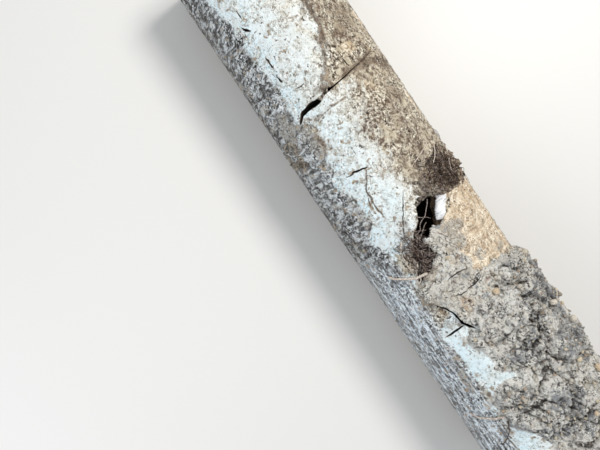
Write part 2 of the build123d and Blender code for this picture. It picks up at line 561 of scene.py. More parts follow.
def wall_relief(x, angle, radius, way_x, way_r):
    """How far the clay stands out from the true section, in mm."""
    points = on_barrel(x, angle, radius)
    painted = fields(x, angle, radius)
    skin = ease(way_r, 0.5, 0.9)
    raised = 0.35 * cloud(points, 150, 1, octaves=2)
    raised += 0.14 * cloud(points, 6, 2, stretch=12)
    raised += 0.12 * cloud(points, 5, 3)
    lime = ease(painted["low_side"], -1.0, 1.0) * ease(painted["high_side"], -8.0, 4.0)
    raised += skin * 0.25 * lime
    grit = 0.35 * ease(cloud(points, 5, 4), 0.0, 0.8) + 0.2 * cloud(points, 3.2, 5)
    raised += skin * grit * (1 - lime) * (1 - painted["film"])
    raised -= skin * 0.55 * pits(points) * (1 - 0.7 * lime)
    raised += skin * painted["cream"] * 0.3 * cloud(points[:, [1, 0, 2]], 2.6, 6, stretch=7)
    chips = ease(painted["rim"], 2.6, 0.0) * (0.3 + 1.3 * ease(cloud(points, 7, 7), -0.3, 0.8))
    raised -= skin * chips
    raised -= skin * 0.55 * ease(depth_in(LIP, x, angle), -0.6, 1.2)
    raised -= skin * 0.5 * ease(nearest(LIP_LINE, x, angle), 2.0, 0.4)
    # The arrises are knocked about a little
    corner = np.abs(way_x * way_r) * 2
    raised -= corner * 1.1 * ease(cloud(points, 16, 8), -0.1, 1.0)
    ends = ease(np.abs(way_x), 0.8, 1.0)
    raised += ends * (0.25 * cloud(points, 12, 9) - 0.3)
    return np.minimum(raised, 0.9)


# Cutters


def stepped(rows, step):
    """Rows of (x, angle) points with more rows between them, about step mm apart, as (x, arc)."""
    stations = []
    for here, there in zip(rows[:-1], rows[1:]):
        pairs = list(zip(here, there))
        spans = [math.hypot(b[0] - a[0], arc_of(b[1] - a[1])) for a, b in pairs]
        count = max(1, round(max(spans) / step))
        for part in np.arange(count) / count:
            moved = [(a[0] + (b[0] - a[0]) * part, a[1] + (b[1] - a[1]) * part) for a, b in pairs]
            stations.append([[x, arc_of(angle)] for x, angle in moved])
    stations.append([[x, arc_of(angle)] for x, angle in rows[-1]])
    return np.array(stations)


# How far apart a breach's stations are, and how far it runs on past the wall, in mm
BREACH_STEP = 1.3
BREACH_OVERRUN = 4.0


def breach(name, sides, bore_share, ragged, wander, seed, lean=None):
    """A ragged closed cutter through the wall, between two rows of (x, angle) points.

    The rows meet at both ends. lean gives how far the high side is bevelled in over the
    bore at each x, in mm.
    """
    over = BREACH_OVERRUN
    stations = stepped(sides, BREACH_STEP)
    radii = np.linspace(OUTER_R + over, BORE_R - over, round((WALL + 2 * over) / BREACH_STEP) + 1)
    middle = stations.mean(axis=1)
    half = stations - middle[:, None]
    gap = np.linalg.norm(half[:, 1] - half[:, 0], axis=1)
    count, layers = len(stations), len(radii)
    points = np.zeros((count, 2, layers, 3))
    for k, radius in enumerate(radii):
        depth = np.clip((OUTER_R - radius) / WALL, -0.3, 1.3)
        width = 1 + (bore_share - 1) * depth
        centre = rolled(middle, radius)
        drift = wander * clouds(centre, 9, (seed, seed + 5))
        for side in (0, 1):
            flat = middle + half[:, side] * width
            if side and lean:
                bevel = lean(flat[:, 0]) * min(2 * depth, 1)
                flat = flat - np.stack([0 * bevel, bevel], axis=1)
            place = rolled(flat, radius)
            rough = clouds(place, 7, (seed + 9, seed + 12), octaves=4)
            flat = flat + drift + rough * np.minimum(ragged, 0.3 * gap)[:, None]
            points[:, side, k] = rolled(flat, radius)
    faces = breach_faces(count, layers)
    used = sorted({v for face in faces for v in face})
    place = {v: n for n, v in enumerate(used)}
    flat_points = points.reshape(-1, 3)[used]
    return outward(mesh_object(name, flat_points, [[place[v] for v in face] for face in faces]))


def breach_faces(count, layers):
    """The faces round a breach of count stations, whose two sides share their end columns."""

    def column(i, side):
        if i in (0, count - 1):
            side = 0
        return [(i * 2 + side) * layers + k for k in range(layers)]

    faces = []
    for i in range(count - 1):
        low_a, low_b, high_a, high_b = column(i, 0), column(i + 1, 0), column(i, 1), column(i + 1, 1)
        for side_a, side_b in ((low_a, low_b), (high_a, high_b)):
            faces += [[side_a[k], side_b[k], side_b[k + 1], side_a[k + 1]] for k in range(layers - 1)]
        for k in (0, layers - 1):
            cap = [low_a[k], low_b[k], high_b[k], high_a[k]]
            faces.append([v for n, v in enumerate(cap) if v != cap[n - 1]])
    return faces


def facet_lean(x):
    """The clean facet on the hole's high side slopes in towards the bore."""
    return 7.0 * ease(x, 18, 24) * ease(x, 44, 38)


def crack_sides(path):
    """The two sides of a crack from its (x, angle, gap) stations."""
    flat = [(x, arc_of(angle)) for x, angle, _ in path]
    sides = []
    for i, (x, arc) in enumerate(flat):
        before, after = flat[max(i - 1, 0)], flat[min(i + 1, len(flat) - 1)]
        along_x, along_arc = after[0] - before[0], after[1] - before[1]
        half = path[i][2] / 2 / math.hypot(along_x, along_arc)
        sides.append([(x + s * half * along_arc, angle_of(arc - s * half * along_x)) for s in (-1, 1)])
    return sides


# How far apart a groove's stations are, and how far it stands out of the skin, in mm
GROOVE_STEP = 1.0
GROOVE_OVERRUN = 1.5


def groove(path, width, depth, seed, skin):
    """A closed cutter along a path of (x, angle) points: a thin wedge from the skin down to its depth."""
    over = GROOVE_OVERRUN
    stations = stepped([[point] for point in path], GROOVE_STEP)[:, 0]
    place = rolled(stations, OUTER_R)
    stations += 0.7 * clouds(place, 5, (seed, seed + 3))
    way = np.gradient(stations, axis=0)
    across = np.stack([-way[:, 1], way[:, 0]], axis=1) / np.linalg.norm(way, axis=1)[:, None]
    part = np.linspace(0, 1, len(stations))
    swell = np.sin(np.pi * part) ** 0.5 * (1 + 0.5 * cloud(place, 4, seed + 6))
    spread = (width / 2 * (1 + over / depth) * swell)[:, None] * across
    rows = [stations - spread, stations, stations + spread]
    radii = [skin + over, skin - depth, skin + over]
    points = [rolled(row[1:-1], radius) for row, radius in zip(rows, radii)]
    ends = [rolled(stations[[0, -1]], skin + over / 2)]
    count = len(stations) - 2
    faces = []
    for a, b in ((0, 1), (1, 2), (2, 0)):
        for n in range(count - 1):
            faces.append([a * count + n, a * count + n + 1, b * count + n + 1, b * count + n])
        faces.append([3 * count, a * count, b * count])
        faces.append([3 * count + 1, b * count + count - 1, a * count + count - 1])
    return outward(mesh_object("groove", np.concatenate(points + ends), faces))


def cut_grooves(piece, name, lines, seed, material, skin=OUTER_R):
    """Cuts a groove into the piece along each line, given by its path, width and depth."""
    cutters = [groove(*line, seed + 9 * n, skin) for n, line in enumerate(lines)]
    cut(piece, joined(cutters, name), material)


# Soil that clings to the pipe

# How deep its underside lies in the wall, and how far it may stand out of the pipe's own box, in mm
SUNK = 2.5
PROUD = 3.6
# How far a loose clod may dip below the skin, and how far soil may reach past the pipe's end, in mm
DIG = 2.0
PAST_END = 0.4

# The grey mud crust over the far end, as an outline of (x, angle) points
MUD = [
    (44, -3), (43, 1), (44.5, 6), (48, 7.5), (52, 4), (57, 5), (66, 0), (72, 6), (80, 7), (92, 7),
    (97, 12), (98, 22), (100, 34), (104, 46), (106, 60), (110, 80), (118, 98), (130, 110),
    (160, 118), (200, 110), (240, 118), (272, 108),
    (286, 88), (293, 62), (288, 36), (293, 12), (287, -8), (280, -20), (270, -24), (262, -19),
    (249, -13.5), (234, -18), (228, -28), (222, -33), (217, -31), (211, -36), (205, -33), (193, -32),
    (189, -27), (186, -17), (188, -9.5), (181, -6), (176, -14), (171, -18), (166, -13), (160, -14.5),
    (152, -20), (142, -24.5), (138, -25), (136.5, -20), (133.5, -14), (128, -16.5), (122, -19),
    (112, -20.5), (106, -23), (102, -27), (97, -31), (90, -34), (82, -34), (78, -33), (76, -29),
    (72.8, -22), (73.5, -18.4), (67.5, -15.4), (65, -10), (61, -8.5), (57.7, -10), (52, -12), (47, -12.4),
    (47.2, -6),
]
# Thickness of the crust by angle, where it is smooth and where it is cloddy
MUD_SMOOTH = [(-35, 1.8), (0, 2.6), (10, 3.0), (30, 4.0), (60, 5.0), (90, 3.0), (120, 2.0)]
MUD_CLODDY = [
    (-35, 2.4), (0, 3.6), (15, 6.2), (30, 9.0), (45, 11.0), (62, 9.8), (76, 6.5), (90, 3.6),
    (120, 2.5),
]
# Lumps pressed into it: x, angle, reach along, reach round, height in mm
MUD_LUMPS = [
    (208, 8, 11, 13, 2.4), (209, -12, 3, 7, 1.6), (186, 30, 14, 12, 3.0), (156, 30, 10, 9, 2.4),
    (233, 24, 12, 10, 2.6), (150, 8, 16, 8, 1.4), (128, 40, 10, 12, 2.4), (252, 6, 12, 12, 2.0),
    (270, 34, 14, 16, 3.0), (224, -4, 8, 8, 1.4), (140, 58, 18, 14, 3.0), (108, 32, 8, 10, 1.6),
    (196, 55, 18, 14, 3.2), (171, 2, 7, 6, 1.4), (214, -9, 9, 8, 1.8), (168, 16, 9, 8, 2.2),
    (236, 4, 9, 8, 2.0), (262, -12, 10, 6, 1.2), (115.5, 12.5, 8, 7, -3.4),
]
# Crevices in it: path, width and depth in mm
MUD_CREVICES = [
    ([(163, 27), (168, 18), (171, 9)], 3.0, 4.5), ([(182, 18), (190, 21), (197, 26)], 2.6, 5.0),
    ([(196, 11), (198, 3), (206, -4)], 1.6, 2.2), ([(216, 20), (221, 17), (231, 10), (236, 4)], 2.4, 4.0),
    ([(200, 22), (212, 21), (219, 18)], 1.8, 2.5), ([(151, 20), (158, 24), (166, 22)], 2.0, 3.0),
    ([(112, 12), (118, 24), (124, 34)], 2.2, 3.0), ([(238, 30), (244, 14), (240, -2)], 2.0, 3.2),
    ([(213, -2), (214, -14), (216, -24)], 1.5, 1.8), ([(132, 26), (138, 34), (148, 40)], 2.4, 4.0),
    ([(203, -22), (210, -16), (216, -8), (225, -5)], 1.8, 2.6),
    ([(258, 26), (263, 10), (256, -6)], 2.2, 3.6), ([(176, -2), (187, 3), (196, 0)], 1.5, 2.0),
]
# Drying cracks in its smooth part: path, width and depth in mm
MUD_CRACKS = [
    ([(86.2, 3.6), (84.9, 0), (84.6, -4), (85.6, -9), (87, -13)], 0.95, 3.0),
    ([(97.9, 8.6), (99.6, 6.3), (100.9, 1), (100.6, -5)], 0.9, 3.0),
    ([(101.4, -4.4), (102.2, -10), (100.7, -14)], 1.1, 2.9),
]
# Stains on it, as dabs. The slate dab at x 129 is painted shade under the crust's thick edge by the
# forked crack.
MUD_ORANGE = [(110, -10, 10, 8, 0.6), (150, -12, 6, 3, 0.5), (128, 0, 6, 3, 0.4), (123, 28, 5, 4, 0.6)]
MUD_SLATE_AND_SHADE = [
    (186, 38, 17, 20, 1.0), (133, 48, 11, 17, 0.9), (214, -34, 5, 5, 0.9), (129, -15, 6, 5, 0.9),
]


def room(angle):
    """How far soil may stand out of the barrel at an angle and stay in the pipe's own box, nearly."""
    turn = np.radians(angle)
    above = np.where(np.cos(turn) > 0, OUTER_R + PROUD, OUTER_R - 0.2)
    beside = (OUTER_R + PROUD) / np.maximum(np.abs(np.sin(turn)), 1e-3)
    return np.minimum(beside, above / np.maximum(np.abs(np.cos(turn)), 1e-3)) - OUTER_R


def held(rise, angle):
    """The rise, eased off so that it stays within the room there is."""
    cap = np.maximum(room(angle), 0.05)
    return np.where(rise > 0, rise / (1 + np.abs(rise / cap) ** 4) ** 0.25, rise)


def lumpy(points, size, seed, crevice=0.22):
    """Clods of a size: each its own height from 0 to 1, and how deep in a crevice, 0 to 1."""
    moved = points + 0.25 * size * cloud(points, size, seed + 40)[:, None]
    near, following, own = clods(moved, size, seed)
    return own * ease(near, 0.9, 0.1), ease(following - near, crevice, 0.0)


def mud(x, angle):
    """The mud crust: its rise over the barrel and how deep each place is in a crevice, for its painted
    shade.
    """
    points = on_barrel(x, angle, OUTER_R)
    wide_x, wide_angle = warped(x, angle, points, 1.8, 9, 300)
    inside = depth_in(MUD, wide_x, wide_angle) + 1.8 * cloud(points, 4.5, 306)
    # Along the forked crack it ends in a thick edge
    inside += 3.5 * ease(nearest(fork_line, x, angle), 9, 3)
    cloddy = ease(x + 9 * cloud(points, 25, 310), 104, 140)
    cloddy = np.maximum(cloddy, ease(angle + 6 * cloud(points, 20, 312), 8, 26))
    bed = (1 - cloddy) * level(MUD_SMOOTH, angle) + cloddy * level(MUD_CLODDY, angle)
    edge = ease(inside, -2.0, 3.5)
    rise = bed * edge
    joints = np.zeros(len(x))
    knobbly = 0.3 * cloud(points, 9, 316)
    for at_x, at_angle, along, around, height in MUD_LUMPS:
        away = np.hypot((x - at_x) / along, arc_of(angle - at_angle) / around) + knobbly
        rise += height * ease(away, 1.0, 0.75) * edge
        joints = np.maximum(joints, ease(np.abs(away - 1.05), 0.14, 0.03))
    joints *= cloddy * ease(cloud(points, 12, 318), -0.5, 0.2)
    large, large_gap = lumpy(points, 21, 320, 0.1)
    small, small_gap = lumpy(points, 8.5, 330, 0.16)
    tiny, tiny_gap = lumpy(points, 3.6, 340, 0.24)
    split = ease(cloud(points, 15, 358), -0.35, 0.3)
    large_gap, small_gap = large_gap * split, small_gap * ease(cloud(points, 9, 362), -0.1, 0.5)
    broken = 4.6 * (large - 0.3) - 2.8 * large_gap + 1.3 * (small - 0.3) - 1.4 * small_gap
    rise += cloddy * edge * broken
    rise += cloddy * edge * 1.7 * cloud(points, 11, 366, 4)
    rise += (0.1 + 0.9 * cloddy) * edge * (1.1 * (tiny - 0.3) - 0.5 * tiny_gap)
    rise += edge * (0.4 * cloud(points, 12, 350) + (0.15 + 0.35 * cloddy) * cloud(points, 3.4, 352))
    rise -= 1.2 * joints * edge
    # Painted shade: gaps between clods, joints round the lumps and crevices go into the shade field
    shade = np.maximum(cloddy * np.maximum(large_gap, 0.7 * small_gap), joints)
    for path, width, depth in MUD_CREVICES:
        away = nearest(path, *warped(x, angle, points, 1.2, 6, 356))
        deep = ease(away, width, width * 0.25)
        rise -= depth * deep * edge
        shade = np.maximum(shade, deep)
    rise = np.where(inside > -2.0, np.maximum(rise, 0.25 * edge), 0.6 * (inside + 2.0))
    return held(rise, angle), shade * edge, cloddy


def mud_fields(x, angle, rise, shade, cloddy):
    points = on_barrel(x, angle, OUTER_R + rise)
    far_orange = 0.5 * ease(angle, 30, 60) * ease(cloud(points, 20, 360), -0.2, 0.6)
    far_slate = ease(cloud(points, 17, 364), 0.25, 0.7) * cloddy
    return {
        "shade": np.clip(shade, 0, 1),
        "cloddy": cloddy,
        "orange": np.maximum(dabbed(MUD_ORANGE, x, angle), far_orange),
        # Slate stains, and one dab of painted shade by the forked crack
        "slate": np.maximum(dabbed(MUD_SLATE_AND_SHADE, x, angle), far_slate),
    }


# The dark clod of soil and fine roots at the wide end of the hole
ROOT_CLOD = [
    (-9, 40), (-6, 28), (2, 18), (9, 11), (15, 12), (19, 17), (22, 23), (26, 30), (27, 40), (27, 56),
    (22, 70), (10, 76), (-2, 68), (-8, 54),
]
# Its dark core
ROOT_CORE = [
    (-7, 23), (-5, 34), (2, 41), (10, 49), (20, 50), (26, 42), (26, 30), (21, 22), (12, 16), (3, 17),
]
# The clod on the grey flank beside the spalled lip
LEFT_CLOD = [
    (-88, -60), (-82, -56), (-72, -56), (-63, -60), (-58, -68), (-60, -80), (-70, -88), (-84, -84),
    (-90, -72),
]
# The soil that has sunk into the hole's low side
HOLE_SOIL = [
    (36, -13), (42, -13.5), (47, -9), (52, -8), (58, -6), (66, -5), (71, -11), (78, -18), (87, -36),
    (80, -34), (72, -33), (64, -28), (56, -27), (47, -22), (40, -17),
]
# The soil that hangs over the hole's near rim
HOLE_LIP = [
    (4, 4), (10, -1), (16, -3), (19, -1.5), (17.6, 4), (16.8, 10), (19, 15), (20.8, 19), (23, 24),
    (19, 28), (12, 22), (7, 12),
]
# The soil that plugs the cross crack
CRACK_PLUG = [(-105, -8), (-101, -9), (-98, -11), (-97, -15), (-100, -16.5), (-104, -16), (-108, -12)]


def clod(outline, bed, lump, seed):
    """A rise over the barrel for a loose clod within an outline, and its crevices."""

    def rise_at(x, angle):
        points = on_barrel(x, angle, OUTER_R)
        inside = depth_in(outline, *warped(x, angle, points, 1.6, 7, seed))
        inside += 1.2 * cloud(points, 3.5, seed + 5)
        edge = ease(inside, -1.5, 7.0)
        large, large_gap = lumpy(points, 8, seed + 10)
        small, small_gap = lumpy(points, 3.4, seed + 20, 0.3)
        rise = bed + lump * (large - 0.3) - 0.6 * lump * large_gap
        rise = edge * (rise + 0.45 * lump * (small - 0.3))
        rise -= edge * 0.3 * lump * small_gap
        rise += edge * 0.4 * cloud(points, 2.6, seed + 30)
        shade = np.maximum(0.8 * large_gap, 0.5 * small_gap)
        rise = np.where(inside > -1.5, rise, 0.8 * (inside + 1.5))
        return held(np.maximum(rise, -DIG), angle), shade

    return rise_at


root_clod = clod(ROOT_CLOD, 1.8, 4.6, 400)
left_clod = clod(LEFT_CLOD, 2.0, 3.6, 440)
hole_lip = clod(HOLE_LIP, 0.9, 1.6, 460)
crack_plug = clod(CRACK_PLUG, 0.1, 1.0, 470)


def hole_soil(x, angle):
    """Soil down in the hole, by its rise over the barrel, which is mostly less than 0."""
    points = on_barrel(x, angle, OUTER_R)
    large, large_gap = lumpy(points, 7, 480)
    small, small_gap = lumpy(points, 3, 490, 0.3)
    low_side = ease(depth_in(HOLE_SOIL, x, angle), 0, 5)
    rise = -0.9 - 2.2 * (1 - low_side) + 3.0 * (large - 0.4) - 2.4 * large_gap + 1.6 * (small - 0.3)
    rise += 0.5 * cloud(points, 2.5, 496)
    return np.minimum(rise, 0.8), np.maximum(0.8 * large_gap, 0.6 * small_gap)


def whole_cells(kept):
    """The cells of a grid whose four corners are all kept."""
    cells = kept[:-1, :-1] & kept[1:, :-1] & kept[:-1, 1:] & kept[1:, 1:]
    # Cells that meet at one corner alone are joined through a third
    for _ in range(4):
        slope = cells[:-1, :-1] & cells[1:, 1:] & ~cells[1:, :-1] & ~cells[:-1, 1:]
        other = cells[1:, :-1] & cells[:-1, 1:] & ~cells[:-1, :-1] & ~cells[1:, 1:]
        cells[1:, :-1] |= slope
        cells[:-1, :-1] |= other
    return cells


def crust_faces(cells, turns, shift):
    """The faces of a crust over its cells. A point's number is higher by shift on its underside."""
    i, j = np.nonzero(cells)
    corners = [i * turns + j, (i + 1) * turns + j, (i + 1) * turns + j + 1, i * turns + j + 1]
    above = np.stack(corners, axis=1)
    faces = [above, above[:, ::-1] + shift]
    wide = np.pad(cells, 1)
    # Each side: its two corners, and the way to the cell beyond it
    sides = ((0, 1, 0, -1), (1, 2, 1, 0), (2, 3, 0, 1), (3, 0, -1, 0))
    for a, b, step_i, step_j in sides:
        open_side = ~wide[i + 1 + step_i, j + 1 + step_j]
        first, last = above[open_side, a], above[open_side, b]
        faces.append(np.stack([last, first, first + shift, last + shift], axis=1))
    return np.concatenate(faces)


def shell(name, outline, step, margin, surface, base, material, seed, open_over_gaps=True):
    """A closed crust over an outline, with what is painted on it.

    Its top follows a rise over the barrel, and its underside a fixed radius.
    """
    low_x, high_x = min(p[0] for p in outline) - margin, max(p[0] for p in outline) + margin
    low_arc, high_arc = (arc_of(f(p[1] for p in outline)) for f in (min, max))
    xs = np.arange(low_x, min(high_x, HALF_LENGTH - OUTER_ARRIS), step)
    arcs = np.arange(low_arc - margin, high_arc + margin, step)
    rows, turns = len(xs), len(arcs)
    x, angle = np.repeat(xs, turns), np.tile(angle_of(arcs), rows)
    rise, shade, *others = surface(x, angle)
    inside = depth_in(outline, x, angle) > -margin
    kept = (inside & (rise > base + 0.4)).reshape(rows, turns)
    if open_over_gaps:
        kept &= ((depth_in(hole_outline, x, angle) < 0.8) | (rise > 0.3)).reshape(rows, turns)
        kept &= (nearest(fork_line, x, angle) > 1.7).reshape(rows, turns)
    points = on_barrel(x, angle, OUTER_R)
    stir = 0.28 * step * clouds(points, 2.2, (seed, seed + 4))
    shelf = (0.5 * ease(rise, 1.0, 4.0))[:, None] * clouds(points, 5, (seed + 8, seed + 12))
    moved = np.stack([x, arc_of(angle)], axis=1) + stir + shelf
    moved[:, 0] = np.minimum(moved[:, 0], HALF_LENGTH + PAST_END)
    top = rolled(moved, OUTER_R + rise)
    under = on_barrel(x, angle, OUTER_R + base)
    shift = rows * turns
    faces = crust_faces(whole_cells(kept), turns, shift)
    used, places = np.unique(faces, return_inverse=True)
    points = np.concatenate([top, under])[used]
    piece = mesh_object(name, points, places.reshape(-1, 4).tolist(), [material])
    at = used % shift
    return outward(piece), [values[at] for values in (x, angle, rise, shade, *others)]


# Loose grains, pebbles and roots


def ground(x, angle):
    """The radius of whatever lies on top at x and an angle."""
    rises = [mud(x, angle)[0], root_clod(x, angle)[0], left_clod(x, angle)[0]]
    return OUTER_R + np.maximum(np.maximum.reduce(rises), 0.0)


def grains(name, places, sizes, seed, material, rounds=2, sunk=0.35):
    """Many lumps as one mesh, each a ball knocked out of shape. Places are (x, angle) pairs."""
    ball = bmesh.new()
    bmesh.ops.create_icosphere(ball, subdivisions=rounds, radius=1.0)
    unit = np.array([v.co for v in ball.verts])
    faces = np.array([[v.index for v in f.verts] for f in ball.faces])
    ball.free()
    rng = np.random.default_rng(seed)
    count = len(places)
    own = rng.random(count)
    stretch = rng.uniform(0.65, 1.2, (count, 3))
    turns = rng.normal(size=(count, 4))
    w, i, j, k = (turns / np.linalg.norm(turns, axis=1)[:, None]).T
    turn = np.array([
        [1 - 2 * (j * j + k * k), 2 * (i * j - k * w), 2 * (i * k + j * w)],
        [2 * (i * j + k * w), 1 - 2 * (i * i + k * k), 2 * (j * k - i * w)],
        [2 * (i * k - j * w), 2 * (j * k + i * w), 1 - 2 * (i * i + j * j)],
    ]).transpose(2, 0, 1)
    spread = (unit[None] * 1.1 + own[:, None, None] * 60).reshape(-1, 3)
    knocked = 1 + 0.3 * noise(spread, seed + 1) + 0.12 * noise(spread * 2.3, seed + 2)
    knocked = knocked.reshape(count, -1, 1)
    shapes = np.einsum("nab,nvb->nva", turn, unit[None] * stretch[:, None] * knocked)
    x, angle = places[:, 0], places[:, 1]
    radius = ground(x, angle) + sizes / 2 * (1 - 2 * sunk)
    radius = np.minimum(radius, OUTER_R + room(angle) + 0.1 - 0.7 * sizes)
    centres = on_barrel(x, angle, radius)
    points = (centres[:, None] + shapes * sizes[:, None, None] / 2).reshape(-1, 3)
    links = (faces[None] + (np.arange(count) * len(unit))[:, None, None]).reshape(-1, 3)
    piece = mesh_object(name, points, links.tolist(), [material])
    paint_fields(piece, {"own": np.repeat(own, len(unit))})
    return piece


def scattered(rng, count, low_x, high_x, low_angle, high_angle, wanted):
    """Random (x, angle) places in a patch, kept as often as wanted(x, angle) says from 0 to 1."""
    x, angle = rng.uniform(low_x, high_x, count), rng.uniform(low_angle, high_angle, count)
    kept = rng.random(count) < wanted(x, angle)
    return np.stack([x[kept], angle[kept]], axis=1)


def smooth_path(corners, step):
    """A curve through corner points, every step mm or so."""
    wide = np.concatenate([2 * corners[:1] - corners[1:2], corners, 2 * corners[-1:] - corners[-2:-1]])
    runs = []
    for a, b, c, d in zip(wide[:-3], wide[1:-2], wide[2:-1], wide[3:]):
        count = max(2, round(np.linalg.norm(c - b) / step))
        t = (np.arange(count) / count)[:, None]
        bend, twist = 2 * a - 5 * b + 4 * c - d, 3 * b - a - 3 * c + d
        runs.append(0.5 * (2 * b + (c - a) * t + bend * t**2 + twist * t**3))
    return np.concatenate(runs + [corners[-1:]])


def strands(name, runs, sides, material, seed):
    """Roots as one mesh.

    Each run: (x, angle, lift off the ground) points, then its two end diameters in mm.
    """
    points, faces, start = [], [], 0
    for number, (corners, thick, thin) in enumerate(runs):
        corners = np.array(corners, float)
        radius = ground(corners[:, 0], corners[:, 1]) + corners[:, 2]
        radius = np.minimum(radius, OUTER_R + room(corners[:, 1]) - 0.6 * thick)
        line = smooth_path(on_barrel(corners[:, 0], corners[:, 1], radius), 1.0)
        line = line + 0.3 * clouds(line, 4, [seed + 3 * number + k for k in range(3)])
        way = np.gradient(line, axis=0)
        way /= np.linalg.norm(way, axis=1)[:, None]
        across = np.cross(way, np.array([0.3, 0.5, 0.81]))
        across /= np.linalg.norm(across, axis=1)[:, None]
        up = np.cross(across, way)
        reach = np.linspace(thick, thin, len(line)) / 2 * (1 + 0.2 * cloud(line, 3, seed + 11))
        for turn in np.arange(sides) * 2 * np.pi / sides:
            points.append(line + reach[:, None] * (np.cos(turn) * across + np.sin(turn) * up))
        count = len(line)
        for side in range(sides):
            a, b = start + side * count, start + (side + 1) % sides * count
            faces += [[a + n, a + n + 1, b + n + 1, b + n] for n in range(count - 1)]
        faces.append([start + side * count for side in range(sides)][::-1])
        faces.append([start + side * count + count - 1 for side in range(sides)])
        start += sides * count
    return outward(mesh_object(name, np.concatenate(points), faces, [material]))


# Paint: every material is mixed from noise and from the fields painted on its mesh


def rgb(red, green, blue):
    """A colour from its screen values, 0 to 255."""
    parts = [v / 255 for v in (red, green, blue)]
    return tuple(p / 12.92 if p <= 0.04045 else ((p + 0.055) / 1.055) ** 2.4 for p in parts) + (1.0,)


# The gloss of dry clay, soil and bark
MATT = 0.25


class Paint:
    """A material being mixed. Each method adds a node and hands back the socket that it ends in."""

    def __init__(self, name):
        self.material = bpy.data.materials.new(name)
        self.material.use_nodes = True
        self.tree = self.material.node_tree
        self.shader = self.tree.nodes["Principled BSDF"]
        self.place = self.tree.nodes.new("ShaderNodeTexCoord").outputs["Object"]

    def feed(self, socket, value):
        if isinstance(value, bpy.types.NodeSocket):
            self.tree.links.new(value, socket)
        else:
            socket.default_value = value

    def add(self, kind, settings, inputs, output=0):
        """A new node with its settings made and its sockets fed, by the socket that it ends in."""
        node = self.tree.nodes.new("ShaderNode" + kind)
        for name, value in settings.items():
            setattr(node, name, value)
        for name, value in inputs.items():
            self.feed(node.inputs[name], value)
        return node.outputs[output]

    def spot(self, size, stretch, seed, turn=0.0):
        """The place in units of size mm: turned about Z, stretched, and moved by the seed."""
        turned = self.add("Mapping", {}, {"Vector": self.place, "Rotation": (0, 0, math.radians(turn))})
        scale = [1000 / size / s for s in stretch]
        shift = [seed * 7.31, seed * 3.17, seed * 5.53]
        return self.add("Mapping", {}, {"Vector": turned, "Scale": scale, "Location": shift})

    def noise(self, size, seed, detail, rough=0.6, stretch=(1, 1, 1), bend=0.0, turn=0.0):
        grain = {"Scale": 1.0, "Detail": detail, "Roughness": rough, "Distortion": bend}
        return self.add("TexNoise", {}, {"Vector": self.spot(size, stretch, seed, turn), **grain})

    def field(self, name):
        return self.add("Attribute", {"attribute_name": name}, {}, "Fac")

    def sum(self, a, b, op="ADD"):
        return self.add("Math", {"operation": op}, {0: a, 1: b})

    def times(self, a, b):
        return self.sum(a, b, "MULTIPLY")

    def lines(self, size, seed, width, stretch=(1, 1, 1), turn=0.0):
        """Thin wandering lines: 1 on a line and 0 off it."""
        away = self.sum(self.noise(size, seed, detail=3, rough=0.55, stretch=stretch, turn=turn), -0.5)
        return self.step(self.sum(away, 0.0, "ABSOLUTE"), width, width * 0.3)

    def step(self, value, low, high, top=1.0):
        """0 at low, top at high, smooth between. Low may be above high."""
        ends = {
            "From Min": min(low, high),
            "From Max": max(low, high),
            "To Min": 0.0 if low < high else top,
            "To Max": top if low < high else 0.0,
        }
        smooth_ends = {"interpolation_type": "SMOOTHSTEP"}
        return self.add("MapRange", smooth_ends, {"Value": value, **ends}, "Result")

    def over(self, factor, below, above):
        """The colour above laid over the colour below, as much as factor says."""
        node = self.tree.nodes.new("ShaderNodeMix")
        node.data_type = "RGBA"
        sockets = {s.identifier: s for s in node.inputs}
        self.feed(sockets["Factor_Float"], factor)
        self.feed(sockets["A_Color"], below)
        self.feed(sockets["B_Color"], above)
        return next(s for s in node.outputs if s.identifier == "Result_Color")

    def lay(self, below, value, low, high, above, top=1.0):
        """The colour above laid over the colour below where the value runs from low to high."""
        return self.over(self.step(value, low, high, top), below, above)

    def done(self, colour, rough, height, depth):
        """Ends the mix: height is the bump's socket and depth what it stands for, in mm."""
        bump = self.add("Bump", {}, {"Distance": depth * MM, "Height": height})
        ends = {"Normal": bump, "Base Color": colour, "Roughness": rough, "Specular IOR Level": MATT}
        for name, value in ends.items():
            self.feed(self.shader.inputs[name], value)
        return self.material


# Materials


# The drag marks over the crown run this far off the pipe's own direction, in degrees
DRAG = 29.0


def mottled(mix, colour, grain, dark, light, gap=0.03, top=0.85):
    """The colour, darker where the grain is low and lighter where it is high. Top may be a socket."""
    if isinstance(top, float):
        darker = mix.step(grain, 0.5 - gap, 0.45 - gap, top)
        lighter = mix.step(grain, 0.5 + gap, 0.55 + gap, top)
    else:
        darker = mix.times(mix.step(grain, 0.5 - gap, 0.45 - gap), top)
        lighter = mix.times(mix.step(grain, 0.5 + gap, 0.55 + gap), top)
    return mix.over(lighter, mix.over(darker, colour, dark), light)


def tan_clay(mix, at):
    """The soil-stained tan of the bare clay, paler along the drag marks."""
    colour = mix.lay(rgb(118, 101, 86), at["broad"], 0.44, 0.56, rgb(190, 177, 153))
    colour = mix.lay(colour, at["dragged"], 0.49, 0.56, rgb(216, 206, 184), 0.7)
    colour = mix.lay(colour, at["blotch"], 0.48, 0.41, rgb(108, 89, 75), 0.75)
    ochre = mix.times(mix.field("ochre"), mix.step(at["blotch"], 0.42, 0.56, 0.8))
    colour = mix.over(ochre, colour, rgb(216, 194, 150))
    colour = mottled(mix, colour, at["small"], rgb(92, 75, 63), rgb(214, 204, 182), 0.025, 0.75)
    roots = mix.lines(13, 31, 0.007, stretch=(2, 1, 1), turn=DRAG)
    roots = mix.times(roots, mix.step(at["busy"], 0.5, 0.9))
    colour = mix.over(mix.times(roots, 0.35), colour, rgb(84, 66, 54))
    return mottled(mix, colour, at["fine"], rgb(48, 38, 32), rgb(238, 231, 214), 0.015, at["busy"])


